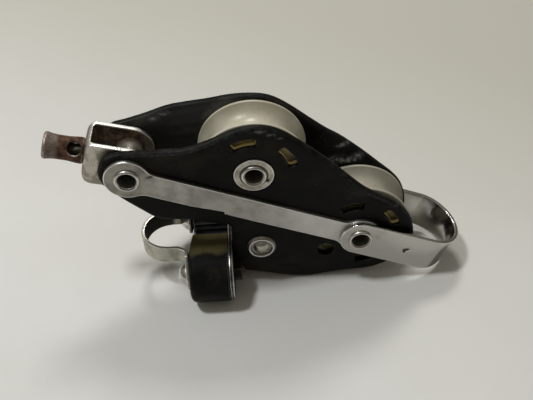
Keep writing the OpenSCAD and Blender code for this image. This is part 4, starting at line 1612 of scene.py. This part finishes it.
@dataclass
class Becket(Part):
    """The strip at the tail: two arms and a wide bow.

    Attributes:
        bow_x: Where the bow begins, along the load line.
        outer: Outer radius of the bow.
        thick: Thickness of the strip.
        half_w: Half width of the arms.
        dip: How far the bow dips at the middle of its width.
        lift: How far its lower edge rises at the tip.
        drop: How far its upper edge falls at the tip.
        nicks: Dents in the front arm.
    """

    bow_x: float = 149.9
    outer: float = 17.5
    thick: float = 2.0
    half_w: float = 9.8
    dip: float = 1.5
    lift: float = 3.6
    drop: float = 0.5
    nicks: tuple[Mark, ...] = (
        Mark((127.4, -17.5, -54.6), (1.6, 1.0, 0.8), 0.25, 2.4),
        Mark((126.5, -17.5, -55.7), (0.8, 1.0, 1.1), 0.20, 2.0),
    )

    def drawn_true(self, points: np.ndarray) -> np.ndarray:
        """Lay the bow's skins on their true curve.

        At the angle a from the bow's middle and the share q of its half
        width, the outer skin has the radius R - dip cos a cos a (1 - q q),
        and the inner skin lies one thickness inside it.

        Args:
            points: The becket's points along the load line.

        Returns:
            The points, those on the bow's two skins moved onto the curve.
        """
        x, y, z = points.T
        away = x - self.bow_x
        r = np.hypot(away, y)
        c = np.clip(away / np.maximum(r, 1e-9), 0.0, 1.0)
        share = c * c
        low = -self.half_w + self.lift * share
        high = self.half_w - self.drop * share
        q = (z - (low + high) / 2) / ((high - low) / 2)
        skin = self.outer - self.dip * share * (1 - np.clip(q * q, 0, 1))
        off = r - skin
        outer_pull = 1 - smooth_step(np.abs(off), 0.25, 0.5)
        inner_pull = 1 - smooth_step(np.abs(off + self.thick), 0.25, 0.5)
        edge = 1 - smooth_step(np.abs(q), 0.94, 0.985)
        pull = edge * (away > -0.2)
        moved = r - off * outer_pull * pull - (off + self.thick) * inner_pull * pull
        scale = np.where(away > 0, moved / np.maximum(r, 1e-9), 1.0)
        return np.stack([self.bow_x + away * scale, y * scale, z], axis=1)

    def build(self) -> None:
        """Build the becket, nicked outside, with painted shade inside its bow."""
        obj = worn_copy("becket", "becket_bow", 0.36, 5)
        mesh = obj.data
        write_points(mesh, leaned(self.drawn_true(laid_flat(read_points(mesh)))))
        press_marks(mesh, self.nicks)
        mark_edges(mesh)
        points, normals = laid_flat(read_points(mesh)), laid_flat(read_normals(mesh))
        # Painted shade: a faint darkening on the bow's inner face stands in for its
        # dark reflections.
        inward = smooth_step(inward_share(points, normals, self.bow_x), 0.5, 0.9)
        film = 0.12 * inward * smooth_step(points[:, 0] - self.bow_x, 0.0, 6.0)
        shade_marks(mesh, "stain", self.nicks)
        write_values(mesh, "stain", np.maximum(read_values(mesh, "stain"), film))
        place(obj, "block", self.finishes.becket, "becket")


@dataclass
class Axles(Part):
    """The hollow axles with flared ends, their bushes and their washers.

    Attributes:
        bore_r: Inner radius of an axle.
        tube_r: Outer radius of an axle.
        flare_r: Radius of the flared ends.
        flare_h: Height of the flared ends.
        washer_r: Radius of the washers.
        washer_from: Distance of their inner faces from the middle.
        washer_to: Distance of their outer faces from the middle.
        head: Middle of the head sheave's axle.
        tail: Middle of the tail sheave's axle.
        notch: Dent in the front washer.
    """

    bore_r: float = 3.95
    tube_r: float = 4.75
    flare_r: float = 5.85
    flare_h: float = 1.3
    washer_r: float = 9.05
    washer_from: float = 12.52
    washer_to: float = 13.9
    head: Place = (55.544, 0.0, -3.334)
    tail: Place = (104.532, 0.0, -45.235)
    notch: Mark = Mark((61.6, -13.9, -6.7), (1.1, 1.0, 1.0), 0.5, 1.6)

    def tube_profile(self, clamp: float) -> np.ndarray:
        """Section of a hollow axle whose lips roll out over what it clamps.

        Args:
            clamp: Distance from the middle to the face under a lip.

        Returns:
            Rows of radius and distance.
        """
        b, t, f, h = self.bore_r, self.tube_r, self.flare_r, self.flare_h
        half = np.array(
            [
                [t, clamp - 0.02],
                [f, clamp + 0.02],
                [f - 0.1, clamp + 0.62 * h],
                [f - 0.75, clamp + 0.98 * h],
                [b + 0.85, clamp + 0.90 * h],
                [b + 0.08, clamp + 0.55 * h],
                [b, clamp - 1.4],
            ]
        )
        radii = np.array([0.0, 0.15, 0.6, 0.3, 0.2, 0.55, 0.7])
        return softened(mirrored(half), np.concatenate([radii, radii[::-1]]), 8)

    def build(self) -> None:
        """Build the axles, with grime at their lips and painted shade deeper in the
        bores, then the washers and bushes.
        """
        for name, node, centre, clamp in (
            ("head_axle_tube", "head_axle", (0.0, 0.0, 0.0), 15.5),
            ("head_sheave_tube", "head_sheave_axle", self.head, 13.9),
            ("tail_sheave_tube", "tail_sheave_axle", self.tail, 17.5),
        ):
            tube = turned(self.tube_profile(clamp), centre, segments=144)
            obj = new_piece(name, tube)
            points = read_points(obj.data)
            inside = off_axle(points, centre) < self.tube_r - 0.2
            y = np.abs(points[:, 1])
            # Painted shade: the bores darken towards near black with depth; the weaker
            # stain at the lips is grime.
            deep = 1 - smooth_step(y, clamp - 5.5, clamp - 1.5)
            lip = 1 - smooth_step(y, clamp + 0.3, clamp + 1.0)
            write_values(obj.data, "stain", inside * (0.35 * lip + 0.65 * deep))
            place(obj, "block", self.finishes.axle, node)
        self._washers()
        for node in ("head_sheave_bush", "tail_sheave_bush"):
            dress_node(node, self.finishes.axle)

    def _washers(self) -> None:
        """Build the two washers of the head sheave's axle, dirty round its lips."""
        bore, r = self.tube_r + 0.04, self.washer_r
        low, high = self.washer_from, self.washer_to
        steps = np.linspace(r - 0.7, self.tube_r + 0.6, 9)
        face = np.stack([steps, np.full_like(steps, high)], axis=1)
        rim = [[bore, low], [r, low], [r, high]]
        corners = np.concatenate([rim, face, [[bore, high]]])
        rounding = np.concatenate([[0.05, 0.15, 0.4], np.zeros_like(steps), [0.1]])
        rings = ring_pair(softened(corners, rounding), self.head)
        obj = new_piece("axle_washer_pair", rings)
        press_marks(obj.data, [self.notch])
        points = read_points(obj.data)
        off = off_axle(points, self.head) - self.flare_r - 0.2
        dirt = 0.75 * np.exp(-((off / 0.45) ** 2)) + self.notch.shade(points)
        write_values(obj.data, "stain", np.clip(dirt, 0, 1))
        place(obj, "block", self.finishes.axle, "axle_washers")


@dataclass
class Sheaves(Part):
    """The two rope wheels.

    Attributes:
        rim_r: Outer radius.
        half_w: Half width.
        bore_r: Radius of the bore.
        hub_r: Radius of the hub.
        rim_t: Thickness of the rim outside the side recess.
        recess: Depth of the recess in each side.
        groove_r: Radius of the groove's floor across the wheel.
        groove_depth: Depth of the groove.
        silt_r: Radius at which the silt on the sides ends.
    """

    rim_r: float = 25.0
    half_w: float = 8.9
    bore_r: float = 7.05
    hub_r: float = 10.4
    rim_t: float = 3.4
    recess: float = 1.3
    groove_r: float = 7.6
    groove_depth: float = 5.6
    silt_r: float = 20.3

    def profile(self) -> np.ndarray:
        """Section of a wheel: hub, recessed sides, rim and rope groove.

        The groove's floor is an arc about the radius rim - depth + groove
        radius.

        Returns:
            Rows of radius and distance.
        """
        middle = self.rim_r - self.groove_depth + self.groove_r
        open_h = math.sqrt(self.groove_r**2 - (middle - self.rim_r) ** 2)
        turn = math.degrees(math.asin(open_h / self.groove_r))
        groove = arc((middle, 0.0), self.groove_r, 180 + turn, 180 - turn, 41)
        w, inner = self.half_w, self.rim_r - self.rim_t
        floor = w - self.recess
        side = np.array(
            [
                [self.bore_r, -w],
                [self.hub_r, -w],
                [self.hub_r, -floor],
                [inner, -floor],
                [inner, -w],
                [self.rim_r, -w],
            ]
        )
        other = side[::-1] * np.array([1.0, -1.0])
        radii = np.array([0.3, 0.3, 0.5, 0.5, 0.3, 0.7])
        lip = np.zeros(len(groove))
        lip[[0, -1]] = 0.35
        rounding = np.concatenate([radii, lip, radii[::-1]])
        return softened(np.concatenate([side, groove, other]), rounding, 7)

    def build(self) -> None:
        """Build both wheels, their sides stained and silted, the silt bright enough to
        paint light too.
        """
        for node, name, centre, finish in (
            ("head_sheave", "head_rope_wheel", Axles.head, self.finishes.sheave),
            # The tail wheel wears the darker copy, as painted shade.
            ("tail_sheave", "tail_rope_wheel", Axles.tail, self.finishes.tail_sheave),
        ):
            obj = new_piece(name, turned(self.profile(), centre, segments=180))
            points = read_points(obj.data)
            side = smooth_step(np.abs(points[:, 1]), 7.2, 7.5)
            r = off_axle(points, centre)
            flank = 1 - smooth_step(r, self.silt_r, self.silt_r + 0.4)
            # Silt on the sides, bright enough to paint the light falling through the
            # slots too.
            write_values(obj.data, "silt", side * flank)
            write_values(obj.data, "stain", side * 0.2)
            place(obj, node, finish, node)


@dataclass
class HeadFitting(Part):
    """The yoke on the head axle, its bush, the swivelling post and its pin.

    Attributes:
        inner_half: Half distance between the yoke's arms.
        web: Distance of the inner face of the yoke's end wall.
        reach: Distance of its outer face.
        post_to: Where the post ends.
        pin_r: Radius of the pin.
        pin_head_r: Radius of its head.
        bush_r: Outer radius of the bush.
        bush_bore: Inner radius of the bush.
        bush_half: Half its length.
        hole_at: Where the post's cross hole lies along it.
        hole_turn: Turn of the cross hole about the post.
    """

    inner_half: float = 6.5
    web: float = 17.5
    reach: float = 20.0
    post_to: float = 37.9
    pin_r: float = 2.8
    pin_head_r: float = 5.2
    bush_r: float = 6.5
    bush_bore: float = 4.8
    bush_half: float = 6.4
    hole_at: float = 24.2
    hole_turn: float = math.radians(43.0)

    def build(self) -> None:
        """Build the fitting's pieces."""
        self._yoke()
        self._post()
        self._pin()
        self._bush()

    def _yoke(self) -> None:
        """Build the bent strip: dirt and painted shade inside, and a painted sheen on
        faces that face up.
        """
        obj = worn_copy("head_yoke", "head_yoke_strip", 0.36, 4)
        mesh = obj.data
        x, y, _ = laid_flat(read_points(mesh), YOKE_TILT).T
        up = laid_flat(read_normals(mesh), YOKE_TILT)[:, 2]
        inside = 1 - smooth_step(np.abs(y), self.inner_half, self.inner_half + 0.5)
        deep = smooth_step(x, -self.reach + 0.5, -self.web + 0.3)
        far = 1.0 - 0.45 * smooth_step(x, -6.0, 8.0)
        # Dirt inside, kept off faces that face up and strongest towards the web: partly
        # painted shade.
        unlit_side = 1 - smooth_step(up, 0.35, 0.6)
        write_values(mesh, "stain", inside * deep * far * unlit_side * 0.95)
        # Painted sheen: faces that face up take the edge colour as a painted highlight.
        write_values(mesh, "painted_sheen", smooth_step(up, 0.55, 0.85))
        place(obj, "yoke", self.finishes.yoke, "head_yoke")

    def _post(self) -> None:
        """Build the rusty post with pits, a bare rim and a bare band.

        The pits follow sin(2.3 x + 1.7 sin 1.9 y) sin(2.1 z + 1.3 sin 2.7 x).
        Round the cross hole the edge wear stays on the lower side alone, as a painted
        highlight on the lit lower lip.
        """
        obj = worn_copy("swivel_post", "rusty_swivel_post", 0.24, 4)
        mesh = obj.data
        points, normals = read_points(mesh), read_normals(mesh)
        x, y, z = points.T
        wave = np.sin(2.3 * x + 1.7 * np.sin(1.9 * y))
        wave = wave * np.sin(2.1 * z + 1.3 * np.sin(2.7 * x))
        pits = 0.05 * smooth_step(wave, 0.1, 0.9)
        write_points(mesh, points - normals * pits[:, None])
        x, y, z = laid_flat(points, YOKE_TILT).T
        tip = smooth_step(-x, self.post_to - 1.7, self.post_to - 0.9)
        rubbed = smooth_step(-x, self.post_to - 7.5, self.post_to - 5.0)
        write_values(mesh, "bare", np.clip(0.5 * tip + 0.3 * rubbed, 0, 1))
        # Edge wear kept on the hole's lower lip alone: real wear placed as a painted
        # highlight.
        across = math.sin(self.hole_turn) * y + math.cos(self.hole_turn) * z
        off = np.hypot(-x - self.hole_at, across)
        rim = np.exp(-(((off - 3.1) / 1.2) ** 2)) * smooth_step(across, -2.4, -1.2)
        write_values(mesh, "wear", read_values(mesh, "wear") * (1 - rim))
        place(obj, "swivel", self.finishes.rusty, "swivel_post")

    def _pin(self) -> None:
        """Build the pin: a rod with an eased tail and a domed head."""
        head, tail, r = self.web - 0.1, self.post_to - 0.4, self.pin_r
        dome = arc((head + 6.0, 0.0), 9.0, 180, 145, 12)[:, ::-1]
        rod = [[r, head], [r, tail - 0.4], [r - 0.4, tail], [0.0, tail]]
        profile = np.concatenate([dome, [[self.pin_head_r, head]], rod])
        axis = tuple(leaned(np.array([-1.0, 0.0, 0.0]), YOKE_TILT))
        surface = turned(profile, (0.0, 0.0, 0.0), axis, 96, ring=False)
        obj = new_piece("swivel_pin_domed", surface)
        place(obj, "swivel", self.finishes.yoke, "swivel_pin")

    def _bush(self) -> None:
        """Build the bush between the yoke's arms, dirty at its far end."""
        inner, outer, half = self.bush_bore, self.bush_r, self.bush_half
        corners = [[inner, -half], [outer, -half], [outer, half], [inner, half]]
        profile = softened(np.array(corners), np.full(4, 0.3))
        obj = new_piece("head_spacer_bush", turned(profile, (0.0, 0.0, 0.0)))
        y = read_points(obj.data)[:, 1]
        write_values(obj.data, "stain", smooth_step(y, 2.8, 4.8) * 0.7)
        ends = smooth_step(np.abs(y), half - 0.7, half - 0.2)
        write_values(obj.data, "wear", ends * read_values(obj.data, "wear"))
        place(obj, "block", self.finishes.lathe, "head_bush")


@dataclass
class CamCleat(Part):
    """The cleat: plate, bracket, cams, bushes, springs, screws and rivet.

    Attributes:
        pivot_y: Distance of each cam screw from the middle.
        pivot_z: Height of the cam screws.
        cam_front: Front ends of the cams along X.
        ear_front: Front of the fairlead's ears.
        head_r: Radius of a screw's head.
        head_h: Height of a screw's head.
        shank_r: Radius of a screw's shank.
        shank: Length of the shank.
        rivet: Middle of the rivet.
        rivet_r: Radius of the rivet.
        rivet_half: Half its length with its domes.
        dome_r: Radius of its domes.
        cup_floor: Distance of the cups' floors from the middle.
    """

    pivot_y: float = 19.0
    pivot_z: float = -60.4
    cam_front: float = 21.7
    ear_front: float = 20.1
    head_r: float = 5.8
    head_h: float = 4.6
    shank_r: float = 2.5
    shank: float = 27.9
    rivet: Place = (57.0, 0.0, -49.6)
    rivet_r: float = 3.0
    rivet_half: float = 16.2
    dome_r: float = 5.2
    cup_floor: float = 14.2

    def build(self) -> None:
        """Build the cleat's pieces."""
        self._cam("near_cam", "near_toothed_cam")
        self._cam("far_cam", "far_toothed_cam")
        self._screws()
        self._rivet()
        steel, rack = "fitting_steel", self.finishes
        for node, name, voxel, slot, finish in (
            ("cleat_plate", "cleat_base_plate", 0.36, steel, rack.plate),
            ("cleat_bracket", "cleat_holding_bracket", 0.36, "yoke_steel", rack.yoke),
            # The lock nuts are dim as painted shade, to sink into the shadow beside the
            # plate.
            ("cleat_nuts", "cleat_lock_nuts", 0.2, steel, rack.dim),
        ):
            place(worn_copy(node, name, voxel, 3), "block", finish, node)
        for node in ("cleat_spacer", "cam_bushes", "cam_springs"):
            dress_node(node, rack.dim)

    def _cam(self, node: str, name: str) -> None:
        """Build a toothed cam, scuffed at its lower front edge.

        The near one has dust on top, pale so that it also paints light in the
        cheek's shade, in a band whose edges wave with sin(0.5 x + 0.9 sin 0.4 y).

        Args:
            node: Its CAD node and its body.
            name: Name of the new piece.
        """
        obj = worn_copy(node, name, 0.32, 4)
        x, y, z = read_points(obj.data).T
        wave = np.sin(0.5 * x + 0.9 * np.sin(0.4 * y))
        up = read_normals(obj.data)[:, 2]
        top = smooth_step(up + 0.03 * wave, 0.0, 1.0) * (node == "near_cam")
        off = np.abs(y) + 0.9 * wave
        band = smooth_step(off, 3.0, 6.0) * (1 - smooth_step(off, 16.5, 22.5))
        write_values(obj.data, "stain", top * band * 0.65)
        front = 1 - smooth_step(x, self.cam_front + 1, self.cam_front + 5)
        low = 1 - smooth_step(z, -70.0, -62.0)
        write_values(obj.data, "scuff", front * low * 0.8)
        place(obj, node, self.finishes.cam, node)

    def _screws(self) -> None:
        """Build the two screws: a plain dome on a shank with an eased end.

        The dome is a ball's cap, of the radius (r r + h h) / 2 h. The shank's end is
        darkened as painted shade.
        """
        r, h, thin, end = self.head_r, self.head_h, self.shank_r, self.shank
        ball = (r * r + h * h) / (2 * h)
        low = math.degrees(math.asin((ball - h) / ball))
        dome = arc((0.0, h - ball), ball, 90, low, 30)
        dome[0, 0] = 0.0
        rod = [[thin, 0.0], [thin, 0.7 - end], [thin - 0.4, -end], [0.0, -end]]
        profile = np.concatenate([dome, [[r - 0.1, 0.0]], rod])
        screws = [
            turned(profile, (self.ear_front, y, self.pivot_z), (-1, 0, 0), 120, False)
            for y in (-self.pivot_y, self.pivot_y)
        ]
        obj = new_piece("cleat_dome_screws", joined(screws))
        # Painted shade: the shank's end is stained dark to sink into the shadow behind
        # the plate.
        x = read_points(obj.data)[:, 0] - self.ear_front
        write_values(obj.data, "stain", smooth_step(x, 15.0, 20.0))
        place(obj, "block", self.finishes.fitting, "cleat_screws")

    def _rivet(self) -> None:
        """Build the rivet with its domes, and the cups under them."""
        floor = self.cup_floor
        cap = arc((0.0, self.rivet_half - self.dome_r), self.dome_r, 90, 38, 18)
        cap[0, 0] = 0.0
        half = np.concatenate([cap, [[self.rivet_r, floor]]])
        obj = new_piece("domed_rivet", turned(mirrored(half), self.rivet, ring=False))
        write_values(obj.data, "wear", 0.2 * read_values(obj.data, "wear"))
        place(obj, "block", self.finishes.rivet, "cleat_rivet")
        bore, low = self.rivet_r + 0.05, 13.52
        corners = [[bore, low], [7.2, low], [7.2, 14.0], [6.7, 14.75], [5.95, 15.2]]
        corners += [[5.6, 15.2], [5.1, 14.7], [5.1, floor], [bore, floor]]
        rounding = np.array([0.05, 0.1, 0.25, 0.3, 0.3, 0.2, 0.3, 0.2, 0.05])
        rings = ring_pair(softened(np.array(corners), rounding), self.rivet)
        cups = new_piece("rivet_cup_pair", rings)
        x, _, z = self.rivet
        dirt = [Mark((x, y, z), (4.8, 0.8, 4.8)) for y in (-14.3, 14.3)]
        shade_marks(cups.data, "stain", dirt)
        place(cups, "block", self.finishes.strap, "rivet_cups")


@dataclass
class Fairlead(Part):
    """The strip loop in front of the cams, with its ears.

    Attributes:
        loop_x: Middle of the loop along X.
        outer: Outer radius of the loop.
        thick: Thickness of the strip.
    """

    loop_x: float = 11.9
    outer: float = 13.6
    thick: float = 1.5

    def drawn_true(self, points: np.ndarray) -> np.ndarray:
        """Lay the loop's two skins on true circles about its middle.

        Args:
            points: The fairlead's points.

        Returns:
            The points, those on the loop's two skins moved onto the circles.
        """
        x, y, z = points.T
        away = x - self.loop_x
        start = np.hypot(away, y)
        r = start
        for skin in (self.outer, self.outer - self.thick):
            off = r - skin
            r = r - off * (1 - smooth_step(np.abs(off), 0.15, 0.35))
        scale = np.where(away < 0, r / np.maximum(start, 1e-9), 1.0)
        return np.stack([self.loop_x + away * scale, y * scale, z], axis=1)

    def build(self) -> None:
        """Build the fairlead, with painted shade inside its loop."""
        obj = worn_copy("fairlead", "strip_fairlead", 0.28, 4)
        points = self.drawn_true(read_points(obj.data))
        write_points(obj.data, points)
        mark_edges(obj.data)
        # Painted shade: the loop's inner face is stained dark for the dark reflections
        # it shows.
        inward = inward_share(points, read_normals(obj.data), self.loop_x)
        loop = 1 - smooth_step(points[:, 0] - self.loop_x, -2.0, 4.0)
        write_values(obj.data, "stain", smooth_step(inward, 0.5, 0.9) * loop)
        place(obj, "block", self.finishes.fairlead, "fairlead")


# Floor, light and camera


@dataclass
class Studio(Part):
    """The pale floor, the soft light and the camera.

    Attributes:
        reach: Half width of the floor.
        rows: Points along each side of its grid.
        aim: Where the lights point.
        eye: Place of the camera.
        right: Direction of the picture's right side.
        down: Direction of the picture's lower side.
        lens: Focal length for a film of the given width.
        film: Width of the film.
    """

    reach: float = 2500.0
    rows: int = 41
    aim: Place = (60.0, 0.0, -30.0)
    eye: Place = (55.3254, -256.9075, 213.7837)
    right: Place = (0.997846, -0.055334, -0.035234)
    down: Place = (-0.063697, -0.688856, -0.722094)
    lens: float = 49.766
    film: float = 36.0

    def build(self) -> None:
        """Build the set."""
        self._floor()
        self._area("key", (-440.0, -30.0, 1250.0), 170.0, 8.0, (0.965, 0.985, 1.0))
        self._area("behind", (60.0, 780.0, 1150.0), 300.0, 6.4, (1.0, 0.98, 0.94))
        self._room()
        self._camera()

    def _floor(self) -> None:
        """Lay the floor as an even grid."""
        side = np.linspace(-self.reach, self.reach, self.rows)
        x, y = np.meshgrid(side, side, indexing="ij")
        points = np.stack([x, y, np.full_like(x, FLOOR_Z)], axis=-1).reshape(-1, 3)
        faces = grid_quads(self.rows, self.rows, False, False)[:, ::-1].tolist()
        mesh = bpy.data.meshes.new("paper_floor")
        mesh.from_pydata((points * MM).tolist(), [], faces)
        if mesh.polygons[0].normal.z < 0:
            mesh.flip_normals()
        mesh.materials.append(self.finishes.paper)
        put_up("paper_floor", mesh)

    def _area(
        self, name: str, at: Place, size: float, power: float, tint: Colour
    ) -> None:
        """Hang one square light that points at the block.

        Args:
            name: Name of the light.
            at: Its place.
            size: Length of its sides.
            power: Its power in watts.
            tint: Its colour.
        """
        light = bpy.data.lights.new(name, "AREA")
        light.size, light.energy, light.color = size * MM, power, tint
        back = np.array(at) - np.array(self.aim)
        back = back / np.linalg.norm(back)
        side = np.cross([0.0, 0.0, 1.0], back)
        side = side / np.linalg.norm(side)
        self._set_up(put_up(name, light), (side, np.cross(back, side), back), at)

    @staticmethod
    def _set_up(obj: bpy.types.Object, axes: tuple[np.ndarray, ...], at: Place) -> None:
        """Set an object's own three axes and its place.

        Args:
            obj: The light or camera.
            axes: Directions of its X, Y and Z.
            at: Its place in millimetres.
        """
        whole = np.eye(4)
        whole[:3, :3] = np.stack(axes, axis=1)
        whole[:3, 3] = np.array(at) * MM
        obj.matrix_world = Matrix(whole.tolist())

    @staticmethod
    def _room() -> None:
        """Light the room: warm and dark below, pale above and behind."""
        world = bpy.data.worlds.new("room")
        world.use_nodes = True
        b = Bench(world.node_tree)
        b.tree.nodes.clear()
        way = b.add("ShaderNodeTexCoord").outputs["Generated"]
        x, y, z = b.add("ShaderNodeSeparateXYZ", i0=way).outputs
        level = b.plus(b.plus(b.times(y, 0.12), b.times(z, 0.75)), b.times(x, -0.1))
        high = b.ramp(level, -0.35, 0.75)
        colour = b.blend(high, (0.05, 0.038, 0.028), (0.41, 0.385, 0.335))
        shade = b.add("ShaderNodeBackground", Color=colour, Strength=0.66)
        b.add("ShaderNodeOutputWorld", i0=shade.outputs[0])
        bpy.context.scene.world = world

    def _camera(self) -> None:
        """Set the camera at the photograph's place."""
        view = bpy.data.cameras.new("viewer")
        view.lens, view.sensor_width = self.lens, self.film
        view.sensor_fit = "HORIZONTAL"
        view.clip_start, view.clip_end = 0.01, 20.0
        camera = put_up("viewer", view)
        right, up = np.array(self.right), -np.array(self.down)
        self._set_up(camera, (right, up, np.cross(right, up)), self.eye)
        bpy.context.scene.camera = camera
        bpy.context.scene.view_settings.view_transform = "Standard"


def main() -> None:
    """Build the block's pieces in order, then the set."""
    logging.basicConfig(level=logging.INFO, format="%(message)s")
    finishes = FinishRack()
    frame_parts = (Cheeks, LoadStraps, Becket, Axles)
    fitted_parts = (Sheaves, HeadFitting, CamCleat, Fairlead)
    for kind in (*frame_parts, *fitted_parts, Studio):
        kind(finishes).build()


if __name__ == "__main__":
    main()
